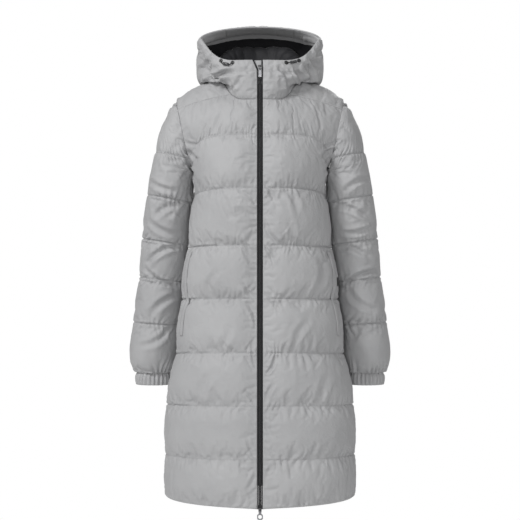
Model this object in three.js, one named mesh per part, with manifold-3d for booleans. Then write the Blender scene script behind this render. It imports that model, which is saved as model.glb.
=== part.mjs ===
// Long hooded puffer coat, in its worn form with no wearer. Millimetres, +Z up, front towards -Y.
// The origin lies midway between the high shoulder points, where the wearer's shoulders carry the coat.
// +X is the wearer's left. Every cloth piece is a padded wall: a plain inside, a quilted outside.

import * as THREE from 'three';
import { mergeVertices } from 'three/addons/utils/BufferGeometryUtils.js';
import Module from 'manifold-3d';

const wasm = await Module();
wasm.setup();

// Walls and seams
const SEAM_GAP = 0.3;
const WALL = 3; // shell, flattened filling and lining together, at a stitch line
const ZIP_HALF = 7; // half the strip of zip that shows between the fronts
const CENTRE_Y = 4; // depth at which the side seams lie
const ROUNDNESS = 2.2; // exponent of the body's rounded sections

// Body sections at the stitch lines: half width, and depth before and behind the side seam
const BODY = [
  { z: -1015, width: 229, front: 155, back: 148 },
  { z: -898, width: 229, front: 157, back: 149 },
  { z: -773, width: 224, front: 153, back: 146 },
  { z: -649, width: 200, front: 146, back: 136 },
  { z: -522, width: 187, front: 138, back: 117 },
  { z: -396, width: 172, front: 143, back: 109 },
  { z: -262, width: 159, front: 151, back: 120 },
  { z: -200, width: 158, front: 147, back: 124 },
  { z: -135, width: 160, front: 135, back: 121 },
  { z: -80, width: 160, front: 122, back: 108 },
];

// Quilt lines of the body, hem first: height at centre front, side and centre back, how fast the line
// droops to the side, and the height of the puff of the baffle below the line
const QUILT = [
  { front: -1014, side: -1005, back: -1009, droop: 0.6, puff: 0 },
  { front: -898, side: -904, back: -898, droop: 2, puff: 8 },
  { front: -773, side: -784, back: -773, droop: 2, puff: 9 },
  { front: -649, side: -661, back: -649, droop: 2, puff: 11 },
  { front: -522, side: -528, back: -522, droop: 2, puff: 14 },
  { front: -396, side: -404, back: -396, droop: 2, puff: 16 },
  { front: -262, side: -284, back: -262, droop: 3, puff: 16 },
];
const BAFFLE_STEPS = [0, 0.2, 0.5, 0.8]; // shares of a baffle's height at which the body has rows

// Rows of the body beside the armhole: share of the baffle, height at the centres, and where the row
// ends, either on the side seam or on the armhole, by its angle in degrees from the shoulder
const CHEST_ROWS = [
  { share: 0.25, middle: -230, side: -253, droop: 3 },
  { share: 0.5, middle: -199, angle: 180, droop: 3 },
  { share: 0.75, middle: -167, angle: 150, droop: 3.5 },
  { share: 1, middle: -135, angle: 127, droop: 4 },
];
const SHOULDER_ROWS = [
  { share: 0.25, back: -121, angle: 105 },
  { share: 0.5, back: -107, angle: 80 },
  { share: 0.75, back: -94, angle: 60 },
  { share: 1, back: -80, angle: 40 },
];
const CHEST_PUFF = 15;
const SHOULDER_PUFF = 12;
const YOKE_PUFF = 9;
const SIDE_PUFF = 0.4; // share of the puff that is left at the side seam
const ARM_PRESS = { from: -560, full: -300, keep: 0.15 }; // the arm presses the side seam flat above here

// Columns of a front from the zip to the side, and of the back, as shares of the quarter section
const FRONT_COLUMNS = [0, 0.12, 0.25, 0.38, 0.5, 0.62, 0.73, 0.82, 0.91, 1];
const BACK_COLUMNS = [-1, -0.88, -0.72, -0.54, -0.36, -0.18, 0, 0.18, 0.36, 0.54, 0.72, 0.88, 1];

// Neckline: angles in degrees from the centre front of the front's columns, the last where the yoke
// starts, and of the ends of the back's columns
const NECK_ANGLES = [0, 14, 28, 41, 49.6];
const YOKE_NECK = NECK_ANGLES[NECK_ANGLES.length - 1];
const BACK_NECK = 115;
const YOKE_SHARES = [0, 0.2, 0.42, 0.66, 0.86, 1]; // rows of the yoke from the neckline to its outer seams
// Bow of the front yoke seam, and the shoulder's extra rise
const YOKE_BOW = { depth: -9, rise: 3, shoulder: 6 };

// Armhole: a rounded loop, by its angle from the shoulder, positive towards the back
const ARMHOLE = { x: 187, top: 18, bottom: 24, sway: 3, y: CENTRE_Y, depth: 74, z: -134, height: 88 };
const YOKE_ANGLES = [-40, -20, 0, 20, 40];

// Sleeve rows on the head: armhole angle where the row ends, height and reach of its outermost point,
// and share of the baffle. Under the arm also their depth, and how steeply the puff rises at the seam.
const HEAD_ROWS = [
  { angle: 20, z: -57, reach: 213, share: 0.14 },
  { angle: 40, z: -67, reach: 221, share: 0.27 },
  { angle: 60, z: -85, reach: 230, share: 0.42 },
  { angle: 80, z: -109, reach: 239, share: 0.6 },
  { angle: 105, z: -139, reach: 248, share: 0.8 },
  { angle: 127, z: -169, reach: 255, share: 1 },
];
const UNDERARM_ROWS = [
  { angle: 150, z: -195, reach: 260, share: 0.25, depth: 72, rise: 2 },
  { angle: 180, z: -221, reach: 265, share: 0.5, depth: 70, rise: 1 },
];
// Sleeve sections below the armpit, at the stitch lines' level: outermost reach, half width and depth,
// depth of the centre, and how much lower the ring lies beside the body
const SLEEVE = [
  { z: -221, reach: 265, width: 51, y: CENTRE_Y, depth: 70, dip: 1 },
  { z: -246, reach: 270, width: 51, y: 9, depth: 68, dip: 12 },
  { z: -272, reach: 275, width: 52, y: 15, depth: 65.5, dip: 18 },
  { z: -378, reach: 288, width: 53, y: 39, depth: 60, dip: 16 },
  { z: -473, reach: 297, width: 53, y: 53, depth: 58, dip: 12 },
  { z: -585, reach: 313, width: 54, y: 61, depth: 58, dip: 6 },
  { z: -655, reach: 322, width: 56, y: 66, depth: 57, dip: 3 },
  { z: -690, reach: 319, width: 52, y: 68, depth: 50, dip: 1 },
  { z: -711, reach: 308, width: 44, y: 69, depth: 40, dip: 0 },
];
const SLEEVE_QUILT = [
  { z: -169, puff: 0 },
  { z: -272, puff: 11 },
  { z: -378, puff: 12 },
  { z: -473, puff: 12 },
  { z: -585, puff: 12 },
  { z: -711, puff: 10 },
];
const SLEEVE_STEPS = [0.22, 0.5, 0.78, 1];
const SLEEVE_COLUMNS = 14;
const SLEEVE_FLAT = 0.35; // share of the puff that is left on the sleeve's outer and inner line
const CUFF = { length: 30, pleats: 26, pleatHeight: 3, wall: 2.4 };

// Collar and hood: rings from the neck seam over the roll behind the neck, the hood's lowest fold and
// the crown to the tunnel's stitch line and the hood's edge. Half width, depth at front and back,
// height at front, side and back, and how late a ring leaves its side's height for its back's
const HOOD = [
  { width: 88, front: -112, back: 78, zFront: -50, zSide: -6, zBack: 12, late: 1.6, puff: 0 },
  { width: 90, front: -114, back: 80, zFront: -42, zSide: 14, zBack: 48, late: 1.6, puff: 1 },
  { width: 96, front: -115, back: 88, zFront: -34, zSide: 34, zBack: 84, late: 1.6, puff: 3 },
  { width: 106, front: -116, back: 103, zFront: -27, zSide: 42, zBack: 98, late: 1.6, puff: 3 },
  { width: 116, front: -116, back: 119, zFront: -20, zSide: 36, zBack: 78, late: 1.6, puff: 3 },
  { width: 123, front: -116, back: 128, zFront: -14, zSide: 16, zBack: 22, late: 2, puff: 3 },
  { width: 130, front: -116, back: 136, zFront: -8, zSide: 4, zBack: -34, late: 2.6, puff: 4 },
  { width: 142, front: -116, back: 152, zFront: -3, zSide: 4, zBack: -42, late: 2.6, puff: 4 },
  { width: 149, front: -116, back: 169, zFront: 2, zSide: 21, zBack: -14, late: 2, puff: 5 },
  { width: 151, front: -116, back: 179, zFront: 6, zSide: 41, zBack: 44, late: 1.4, puff: 6 },
  { width: 151, front: -116, back: 168, zFront: 10, zSide: 61, zBack: 100, late: 1, puff: 4 },
  { width: 150.5, front: -116, back: 128, zFront: 13, zSide: 72, zBack: 136, late: 1, puff: 2 },
  { width: 150, front: -115.5, back: 84, zFront: 16, zSide: 80, zBack: 146, late: 1, puff: 0 },
  { width: 150.5, front: -114, back: 64, zFront: 30, zSide: 92, zBack: 148.5, late: 1, puff: 2.5 },
  { width: 149, front: -111, back: 46, zFront: 43, zSide: 103, zBack: 149, late: 1, puff: 0 },
];
const RIM = HOOD.length - 1;
const TUNNEL = RIM - 2;
const HOOD_CORNER = { from: 0.2, to: 0.95 }; // cosines between which a ring's front passes into its side
const CENTRE_PANEL = 0.54; // half width of the hood's centre panel, as a share of the back
const PANEL_SEAM = BACK_NECK + (180 - BACK_NECK) * (1 - CENTRE_PANEL);
const LINING = { gap: 1.2, wall: 1.4, start: 0.4 };
const GUARD = { reach: 0.4, wall: 1.4, ring: 6 }; // flap behind the zip's open top, in collar columns
const OPEN_TOP = { z: 17, turn: 11, angle: 41 }; // the zip is open above z: its right edge turns out
const COLLAR_PUFF = 0.7; // share of the rings' puff on the collar

// Zip: tapes at the fronts' edges, the coil chain between them, and the two sliders and pulls
const TAPE = { inner: 3.1, sunk: 0.9, wall: 1.2 };
const CHAIN = { half: 2.8, raised: 0.5, wall: 2.4, foot: -1011, top: 27 };
const SLIDER = { width: 9, waist: 7, thick: 1.8 };
const SLIDER_AT = { top: { z: 24, height: 12 }, bottom: { z: -1012, height: 16 } };
const CROWN = { width: 2.2, reach: 4.4, half: 4.2, holeReach: 2.9, holeHalf: 2.9 };
const PULL = { bar: 1.2, thick: 1.3, hole: 3.6, drop: 6.2 };
const TOP_PULL = { neck: 6.6, width: 7, length: 23, endTop: 7.6, corner: 2 };
const BOTTOM_PULL = { neck: 6.6, width: 13.6, length: 26, endTop: 12, corner: 4.5, ringWall: 2.6 };

// Side pockets: a welt along the front's seventh column, and the small plain tab behind the left one
const POCKET = { top: -413, bottom: -612, column: 5, from: 0.5, to: 0.97, wall: 1.4 };
const TAB = { top: -474, bottom: -494, column: 7, from: 0.3, to: 0.52, wall: 0.9 };

// Hood cord: eyelets on the tunnel, and the stretch of cord with its lock between them on each side
const EYELET = { ring: 13.45, angles: [22.8, 36.8], inner: 1.8, outer: 4.9, height: 1 };
const CORD = { radius: 1.2, sides: 8, steps: 18, stand: 5.5, run: 2.2 };
const LOCK = { length: 16, radius: 3.6, bore: 1.5 };
const CORD_SAG = { left: 3, right: 8 };

const mm = (x, y, z) => new THREE.Vector3(x, y, z);
const radians = THREE.MathUtils.degToRad;
const { lerp, smoothstep, clamp } = THREE.MathUtils;
const last = (list) => list[list.length - 1];
const flip = (v) => v && mm(-v.x, v.y, v.z);

// Smooth curve through one column of a table, read at a place given by another column
function read(table, place, key, column) {
  const end = table.length - 1;
  const order = table[0][key] < table[end][key] ? table : [...table].reverse();
  const at = clamp(place, order[0][key], order[end][key]);
  let i = 0;
  while (i < end - 1 && at > order[i + 1][key]) i += 1;
  const slope = (j) => {
    const a = order[Math.max(j - 1, 0)];
    const b = order[Math.min(j + 1, end)];
    return (b[column] - a[column]) / (b[key] - a[key]);
  };
  const step = order[i + 1][key] - order[i][key];
  const t = (at - order[i][key]) / step;
  const ease = 3 * t ** 2 - 2 * t ** 3;
  const line = lerp(order[i][column], order[i + 1][column], ease);
  return line + step * (slope(i) * (t ** 3 - 2 * t ** 2 + t) + slope(i + 1) * (t ** 3 - t ** 2));
}

// Rise of a puffed baffle across its height, steep beside each stitch line
const baffle = (share) => Math.sin(Math.PI * share) ** 0.7;

function armhole(angle) {
  const cos = Math.cos(radians(angle));
  const sin = Math.sin(radians(angle));
  const lean = cos > 0 ? ARMHOLE.top * cos : -ARMHOLE.bottom * (-cos) ** 1.2;
  return mm(
    ARMHOLE.x + lean + ARMHOLE.sway * sin,
    ARMHOLE.y + ARMHOLE.depth * sin,
    ARMHOLE.z + ARMHOLE.height * cos,
  );
}

// Direction out of the wall at the armhole seam, halfway between the body's and the sleeve's
function armholeOut(angle) {
  const a = radians(angle);
  return mm(0.3 * (1 + Math.cos(a)), 0.95 * Math.sin(a), 0.75 * Math.cos(a)).normalize();
}

// Point on a ring of the collar and hood, round from the centre front: angles over 180 are on the right
const HOOD_RINGS = HOOD.map((row, ring) => ({ ...row, ring }));
function around(ring, angle) {
  if (angle > 180) return flip(around(ring, 360 - angle));
  const a = radians(angle);
  const part = (column) => read(HOOD_RINGS, ring, 'ring', column);
  const cos = Math.cos(a);
  const width = part('width');
  const x = cos > 0 ? ZIP_HALF + (width - ZIP_HALF) * Math.sin(a) : width * Math.sin(a);
  const middle = (part('front') + part('back')) / 2;
  const y = cos > 0 ? lerp(middle, part('front'), cos) : lerp(middle, part('back'), -cos);
  const frontShare = smoothstep(cos, HOOD_CORNER.from, HOOD_CORNER.to);
  const backShare = Math.max(-cos, 0) ** part('late');
  const sideShare = 1 - frontShare - backShare;
  const z = frontShare * part('zFront') + backShare * part('zBack') + sideShare * part('zSide');
  return mm(x, y, z);
}
const neck = (angle) => around(0, angle);

// The seam between a front and the yoke, from the neckline (0) to the armhole (1)
function yokeSeam(share) {
  const arch = 4 * share * (1 - share);
  const straight = neck(YOKE_NECK).lerp(armhole(YOKE_ANGLES[0]), share);
  return straight.add(mm(0, YOKE_BOW.depth * arch, YOKE_BOW.rise * arch));
}

// Quarter section of the body from its middle (0) to the side or armhole (1), before or behind
function quarter(share, face, middle, end, droop) {
  const depth = read(BODY, middle, 'z', face);
  const sign = face === 'front' ? -1 : 1;
  const reachY = clamp(((end.y - CENTRE_Y) * sign) / depth, 0, 1);
  const endTheta = Math.acos(reachY ** (ROUNDNESS / 2));
  const start = face === 'front' ? ZIP_HALF : 0;
  const width = (end.x - start) / Math.sin(endTheta) ** (2 / ROUNDNESS);
  const theta = endTheta * share;
  return mm(
    start + width * Math.sin(theta) ** (2 / ROUNDNESS),
    CENTRE_Y + sign * depth * Math.cos(theta) ** (2 / ROUNDNESS),
    middle + (end.z - middle) * share ** droop,
  );
}
const sideSeam = (z) => mm(read(BODY, z, 'z', 'width'), CENTRE_Y, z);

// Rows of the body below the armhole's upper half: where each lies and how high its baffle puffs there
function bodyRows() {
  const rows = [];
  QUILT.slice(1).forEach((line, i) => {
    const below = QUILT[i];
    BAFFLE_STEPS.forEach((share) => rows.push({
      front: lerp(below.front, line.front, share),
      back: lerp(below.back, line.back, share),
      end: sideSeam(lerp(below.side, line.side, share)),
      droop: lerp(below.droop, line.droop, share),
      puff: line.puff * baffle(share),
    }));
  });
  const top = last(QUILT);
  rows.push({ front: top.front, back: top.back, end: sideSeam(top.side), droop: top.droop, puff: 0 });
  CHEST_ROWS.forEach(({ share, middle, side, angle, droop }) => rows.push({
    front: middle,
    back: middle,
    angle,
    end: side === undefined ? armhole(angle) : sideSeam(side),
    droop,
    puff: CHEST_PUFF * baffle(share),
  }));
  return rows;
}

// A cell of a cloth grid: a point at the stitch lines' level, the puff over it, and, where a seam
// fixes it, the direction out of the wall
const cell = (point, puff, out) => ({ point, puff, out });

// Puff fades to nothing at the zip and at an armhole, and to less at the side seam
const zipFade = (share) => smoothstep(share, 0, 0.16);
function sideFade(share, { angle, end }) {
  const press = smoothstep(end.z, ARM_PRESS.from, ARM_PRESS.full);
  const atSeam = angle ? 0 : lerp(SIDE_PUFF, ARM_PRESS.keep, press);
  return lerp(1, atSeam, smoothstep(share, lerp(0.8, 0.6, press), 1));
}

function frontGrid() {
  const grid = bodyRows().map((row) => FRONT_COLUMNS.map((share) => {
    const end = row.angle ? armhole(-row.angle) : row.end;
    const out = share === 1 && row.angle ? armholeOut(-row.angle) : undefined;
    const point = quarter(share, 'front', row.front, end, row.droop);
    return cell(point, row.puff * zipFade(share) * sideFade(share, row), out);
  }));
  const lowest = last(grid);
  const neckCount = NECK_ANGLES.length;
  SHOULDER_ROWS.forEach(({ share, angle }) => {
    const seam = armhole(-angle);
    const between = last(lowest).point.clone().lerp(yokeSeam(1), share);
    grid.push(FRONT_COLUMNS.map((column, i) => {
      const top = i < neckCount ? neck(NECK_ANGLES[i]) : yokeSeam(YOKE_SHARES[i - neckCount + 1]);
      const point = lowest[i].point.clone().lerp(top, share);
      point.add(seam.clone().sub(between).multiplyScalar(column ** 3));
      const out = column === 1 ? armholeOut(-angle) : undefined;
      const fade = zipFade(column) * sideFade(column, { angle, end: seam });
      return cell(point, SHOULDER_PUFF * baffle(share) * fade, out);
    }));
  });
  return grid;
}

function backGrid() {
  const rows = bodyRows();
  SHOULDER_ROWS.forEach(({ share, back, angle }) => rows.push({
    back, angle, end: armhole(angle), droop: 3, puff: SHOULDER_PUFF * baffle(share),
  }));
  return rows.map((row) => [...BACK_COLUMNS].reverse().map((column) => {
    const share = Math.abs(column);
    const end = row.angle ? armhole(row.angle) : row.end;
    const point = quarter(share, 'back', row.back, end, row.droop);
    const out = share === 1 && row.angle ? armholeOut(row.angle) : undefined;
    const made = cell(point, row.puff * sideFade(share, row), out);
    return column > 0 ? made : mirrored(made);
  }));
}

const mirrored = ({ point, puff, out }) => cell(flip(point), puff, flip(out));
const mirrorGrid = (grid) => grid.map((row) => row.map(mirrored).reverse());

// The neckline's angles, from one front's yoke seam round the back to the other's
function neckAngles() {
  const shoulder = YOKE_ANGLES.map((_, i) => lerp(YOKE_NECK, BACK_NECK, i / (YOKE_ANGLES.length - 1)));
  const back = BACK_COLUMNS.slice(1, -1).map((column) => BACK_NECK + (180 - BACK_NECK) * (1 + column));
  return [...shoulder, ...back, ...shoulder.map((angle) => 360 - angle).reverse()];
}

function yokeGrid(back) {
  const topOfBack = last(back).slice(1, -1).map(({ point }) => point);
  const angles = neckAngles();
  const left = YOKE_ANGLES.map(armhole);
  const outer = [...left, ...topOfBack, ...left.map(flip).reverse()];
  const shoulder = YOKE_ANGLES.length - 1;
  return [...YOKE_SHARES].reverse().map((share) => outer.map((edge, i) => {
    const fromFront = Math.min(i, outer.length - 1 - i); // columns from the nearer front seam
    const turn = Math.min(fromFront / shoulder, 1); // 0 at the front seam, 1 behind the armhole
    const point = around(0, angles[i]).lerp(edge, share);
    const arch = 4 * share * (1 - share);
    const rise = YOKE_BOW.rise * (1 + turn) + YOKE_BOW.shoulder * Math.sin(Math.PI * turn);
    point.add(mm(0, YOKE_BOW.depth * Math.cos(Math.PI * turn) * arch, rise * arch));
    const out = share === 1 && fromFront <= shoulder ? armholeOut(YOKE_ANGLES[fromFront]) : undefined;
    const puff = YOKE_PUFF * baffle(share) * smoothstep(fromFront, 0, 1.5);
    return cell(point, puff, i > shoulder ? flip(out) : out);
  }));
}

// The puff is flatter on the sleeve's outer line and where it lies against the body
const sleeveFade = (turn) => SLEEVE_FLAT + (1 - SLEEVE_FLAT) * Math.sin(Math.PI * turn) ** 2;

function sleeveRing(z, turn) {
  const a = Math.PI * turn;
  const part = (column) => read(SLEEVE, z, 'z', column);
  const width = part('width');
  const sway = ARMHOLE.sway * Math.sin(a) * Math.max(0, 1 + (z - SLEEVE[0].z) / 60);
  return mm(
    part('reach') - width + width * Math.cos(a) + sway,
    part('y') + part('depth') * Math.sin(a),
    z - (part('dip') * (1 - Math.cos(a))) / 2,
  );
}

// A row of the sleeve's head, which starts and ends on the armhole
function headCell({ angle, z, reach, share, depth = ARMHOLE.depth, rise = 4 }, turn) {
  const a = radians(angle * turn);
  const cosEnd = Math.cos(radians(angle));
  const swell = (Math.cos(a) - cosEnd) / (1 - cosEnd);
  const seam = armhole(angle);
  const inner = seam.x - ARMHOLE.sway * Math.sin(radians(angle));
  const point = mm(
    inner + ARMHOLE.sway * Math.sin(a) + (reach - inner) * swell,
    ARMHOLE.y + lerp(depth, ARMHOLE.depth, turn ** 6) * Math.sin(a),
    lerp(seam.z, z, swell),
  );
  const fade = (1 - Math.abs(turn) ** rise) * lerp(1, SLEEVE_FLAT, 1 - Math.abs(turn));
  const out = Math.abs(turn) === 1 ? armholeOut(angle * turn) : undefined;
  return cell(point, SLEEVE_QUILT[1].puff * baffle(share) * fade, out);
}

// Sleeve: its rows are open on the head, where they end on the armhole, and closed below the armpit
function sleeveGrid() {
  const turns = Array.from({ length: SLEEVE_COLUMNS + 1 }, (_, i) => 1 - (2 * i) / SLEEVE_COLUMNS);
  const [front, top, back] = YOKE_ANGLES.slice(1, 4);
  const crown = turns.map((turn) => {
    const [from, to] = turn < 0 ? [front, top] : [top, back];
    const share = turn < 0 ? turn + 1 : turn;
    return cell(armhole(from).lerp(armhole(to), share), 0, armholeOut(from).lerp(armholeOut(to), share));
  });
  const headRows = [...HEAD_ROWS, ...UNDERARM_ROWS].map((row) => turns.map((turn) => headCell(row, turn)));
  const grid = [crown, ...headRows];
  const openRows = grid.length - 1;
  SLEEVE_QUILT.slice(1).forEach((line, i) => {
    const start = SLEEVE_QUILT[i].z;
    SLEEVE_STEPS.filter((share) => i > 0 || share > 0.5).forEach((share) => {
      const z = lerp(start, line.z, share);
      grid.push(turns.map((turn) => cell(sleeveRing(z, turn), line.puff * baffle(share) * sleeveFade(turn))));
    });
  });
  return { grid, openRows };
}

// Cuff: a pleated tube under the sleeve's last ring
function cuffGrid() {
  const end = last(SLEEVE).z;
  const count = CUFF.pleats * 2;
  return [0, 0.5, 1].map((share) => Array.from({ length: count + 1 }, (_, i) => {
    const point = sleeveRing(end, 1 - (2 * i) / count);
    point.z -= SEAM_GAP + CUFF.length * share;
    const height = (share === 0 || share === 1 ? 0.4 : 1) * CUFF.pleatHeight;
    return cell(point, i % 2 === 0 ? 0 : height);
  }));
}

// Collar and hood panels, between two angles of the rings
function ringCells(angles, rings, puffShare = 1) {
  return rings.map((ring) => angles.map((angle, i) => {
    const atSeam = i === 0 || i === angles.length - 1;
    return cell(around(ring, angle), atSeam ? 0 : read(HOOD_RINGS, ring, 'ring', 'puff') * puffShare);
  }));
}
const allRings = HOOD.map((_, ring) => ring);
const between = (angle, from, to) => angle >= from - 1e-6 && angle <= to + 1e-6;
const panelAngles = (from, to) => neckAngles().filter((angle) => between(angle, from, to));
const collarColumns = NECK_ANGLES.slice(0, -1);
const wholeAngles = [
  ...collarColumns, ...neckAngles(), ...collarColumns.map((angle) => 360 - angle).reverse(),
];

// Points and normals of the whole hood's surface between two angles, for the layers that follow it
function wholeSlice(from, to) {
  const whole = ringCells(wholeAngles, allRings, 0);
  const normals = gridNormals(whole, Infinity);
  normals.forEach((row) => [row[0], last(row)].forEach((normal) => normal.setX(0).normalize()));
  const kept = wholeAngles.map((_, i) => i).filter((i) => between(wholeAngles[i], from, to));
  const slice = (table) => table.map((row) => kept.map((i) => row[i]));
  return { grid: slice(whole), normals: slice(normals) };
}

// Above the zip's top slider the right collar's edge turns out of the way
function turnOut(point) {
  const rise = Math.max(0, point.z - OPEN_TOP.z) / (last(HOOD).zFront - OPEN_TOP.z);
  const edge = ZIP_HALF + (last(HOOD).width - ZIP_HALF) * Math.sin(radians(OPEN_TOP.angle));
  const near = 1 - smoothstep(-point.x, ZIP_HALF, edge);
  return point.clone().add(mm(-OPEN_TOP.turn * rise * near, 0, 0));
}

// Normals of a grid of points, out of the wall. A closed row joins its two ends.
function gridNormals(grid, closedFrom) {
  const points = grid.map((row) => row.map(({ point }) => point));
  const rows = points.length;
  const columns = points[0].length;
  return points.map((row, r) => row.map((_, c) => {
    const closed = r >= closedFrom;
    const before = closed && c === 0 ? columns - 2 : Math.max(c - 1, 0);
    const after = closed && c === columns - 1 ? 1 : Math.min(c + 1, columns - 1);
    const across = points[r][after].clone().sub(points[r][before]);
    const along = points[Math.min(r + 1, rows - 1)][c].clone().sub(points[Math.max(r - 1, 0)][c]);
    return across.cross(along).normalize();
  }));
}

// Every seam point that two pieces share gets the mean of their directions out of the wall
const seamDirections = new Map();
const seamKey = (point) => [point.x, point.y, point.z].map((value) => Math.round(value * 20)).join();
function isEdge(r, c, { grid, closedFrom = Infinity, shared = 'all' }) {
  if (shared === 'none') return false;
  if (shared === 'bottom') return r === 0;
  const atSide = r < closedFrom && (c === 0 || c === grid[0].length - 1);
  return r === 0 || r === grid.length - 1 || atSide;
}

function prepare(piece) {
  piece.normals ??= gridNormals(piece.grid, piece.closedFrom ?? Infinity);
  piece.grid.forEach((row, r) => row.forEach(({ point }, c) => {
    if (c === piece.zipColumn) piece.normals[r][c].setX(0).normalize();
    if (!isEdge(r, c, piece)) return;
    const key = seamKey(point);
    const sum = seamDirections.get(key) ?? mm(0, 0, 0);
    seamDirections.set(key, sum.add(piece.normals[r][c]));
  }));
}

// Outer and inner points of a padded wall. Edges named in seams keep the sewing gap.
function wallPoints(piece) {
  const { grid, normals, wall = WALL, offset = 0, seams = {}, closedFrom = Infinity } = piece;
  const rows = grid.length;
  const columns = grid[0].length;
  const layer = (depth, withPuff) => grid.map((row, r) => row.map(({ point, puff, out }, c) => {
    const own = normals[r][c];
    const edge = isEdge(r, c, piece);
    const direction = out ?? (edge ? seamDirections.get(seamKey(point)).clone().normalize() : own);
    const mitre = edge && !out ? Math.min(1 / Math.max(direction.dot(own), 0.5), 1.5) : 1;
    return point.clone().addScaledVector(direction, (withPuff ? puff : 0) - (depth + offset) * mitre);
  }));
  const outer = layer(0, true);
  const inner = layer(wall, false);
  [outer, inner].forEach((points) => {
    const pull = (r, c, r2, c2) => {
      const step = points[r2][c2].clone().sub(points[r][c]).setLength(SEAM_GAP * 0.7);
      points[r][c].add(step);
    };
    for (let c = 0; c < columns; c += 1) {
      if (seams.bottom) pull(0, c, 1, c);
      if (seams.top) pull(rows - 1, c, rows - 2, c);
    }
    for (let r = 0; r < Math.min(rows, closedFrom); r += 1) {
      if (seams.left) pull(r, 0, r, 1);
      if (seams.right) pull(r, columns - 1, r, columns - 2);
    }
    if (seams.left && closedFrom < rows - 1) pull(closedFrom, 0, closedFrom + 1, 0);
  });
  return { outer, inner };
}

// One closed body between an outer and an inner grid of points
function wallGeometry({ outer, inner }, closedFrom = Infinity) {
  const rows = outer.length;
  const columns = outer[0].length;
  const positions = [];
  const triangle = (a, b, c) => [a, b, c].forEach((p) => positions.push(p.x, p.y, p.z));
  const quad = (a, b, c, d) => {
    triangle(a, b, c);
    triangle(a, c, d);
  };
  // An edge's face. Two pieces that share it cut it along the same diagonal, from its higher point.
  const order = (p) => p.z + 0.37 * p.x + 0.11 * p.y;
  const edgeFace = (outerA, outerB, innerB, innerA) => {
    if (order(outerA) > order(outerB)) quad(outerA, outerB, innerB, innerA);
    else quad(outerB, innerB, innerA, outerA);
  };
  const at = (points, r, c) => points[r][r >= closedFrom && c === columns - 1 ? 0 : c];
  for (let r = 0; r < rows - 1; r += 1) {
    for (let c = 0; c < columns - 1; c += 1) {
      quad(at(outer, r, c), at(outer, r, c + 1), at(outer, r + 1, c + 1), at(outer, r + 1, c));
      quad(at(inner, r, c), at(inner, r + 1, c), at(inner, r + 1, c + 1), at(inner, r, c + 1));
    }
    if (r < closedFrom) {
      const end = columns - 1;
      edgeFace(at(outer, r, 0), at(outer, r + 1, 0), at(inner, r + 1, 0), at(inner, r, 0));
      edgeFace(at(outer, r + 1, end), at(outer, r, end), at(inner, r, end), at(inner, r + 1, end));
    }
  }
  for (let c = 0; c < columns - 1; c += 1) {
    const top = rows - 1;
    edgeFace(at(outer, 0, c + 1), at(outer, 0, c), at(inner, 0, c), at(inner, 0, c + 1));
    edgeFace(at(outer, top, c), at(outer, top, c + 1), at(inner, top, c + 1), at(inner, top, c));
  }
  const geometry = new THREE.BufferGeometry();
  geometry.setAttribute('position', new THREE.Float32BufferAttribute(positions, 3));
  return mergeVertices(geometry, 1e-4);
}

function finish(color, roughness, metalness = 0) {
  return new THREE.MeshStandardMaterial({ color, roughness, metalness });
}
const shell = finish(0x8f9092, 0.62);
const lining = finish(0x161618, 0.75);
const black = finish(0x141416, 0.5);
const steel = finish(0xc8c9cb, 0.3, 1);

const coat = new THREE.Group();
function add(name, geometry, material) {
  const mesh = new THREE.Mesh(geometry, material);
  mesh.name = name;
  coat.add(mesh);
  return mesh;
}

// Padded pieces
const front = frontGrid();
const back = backGrid();
const sleeve = sleeveGrid();
const cuff = cuffGrid();
const collar = ringCells(NECK_ANGLES, allRings, COLLAR_PUFF);
const openCollar = mirrorGrid(collar).map((row) => row.map(({ point, puff }) => cell(turnOut(point), puff)));
const hoodPiece = (name, from, to, seams, grid) => ({
  name, grid, normals: wholeSlice(from, to).normals, seams: { bottom: true, ...seams }, shared: 'bottom',
});
const hoodPanel = (name, from, to) => hoodPiece(
  name, from, to, { left: true, right: true }, ringCells(panelAngles(from, to), allRings),
);
const allSeams = { top: true, bottom: true, left: true, right: true };
const lastColumn = FRONT_COLUMNS.length - 1;
const clothPieces = [
  { name: 'front_left', grid: front, seams: { top: true, right: true }, zipColumn: 0 },
  { name: 'front_right', grid: mirrorGrid(front), seams: { top: true, left: true }, zipColumn: lastColumn },
  { name: 'back', grid: back, seams: { top: true, left: true, right: true } },
  { name: 'yoke', grid: yokeGrid(back), seams: allSeams },
  { name: 'sleeve_left', grid: sleeve.grid, closedFrom: sleeve.openRows, seams: allSeams },
  { name: 'sleeve_right', grid: mirrorGrid(sleeve.grid), closedFrom: sleeve.openRows, seams: allSeams },
  { name: 'cuff_left', grid: cuff, closedFrom: 0, wall: CUFF.wall, shared: 'none' },
  { name: 'cuff_right', grid: mirrorGrid(cuff), closedFrom: 0, wall: CUFF.wall, shared: 'none' },
  hoodPiece('collar_left', 0, YOKE_NECK, { right: true }, collar),
  hoodPiece('collar_right', 360 - YOKE_NECK, 360, { left: true }, openCollar),
  hoodPanel('hood_side_left', YOKE_NECK, PANEL_SEAM),
  hoodPanel('hood_side_right', 360 - PANEL_SEAM, 360 - YOKE_NECK),
  hoodPanel('hood_centre', PANEL_SEAM, 360 - PANEL_SEAM),
];
clothPieces.forEach(prepare);
clothPieces.forEach((piece) => {
  piece.walls = wallPoints(piece);
  add(piece.name, wallGeometry(piece.walls, piece.closedFrom), shell);
});

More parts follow.
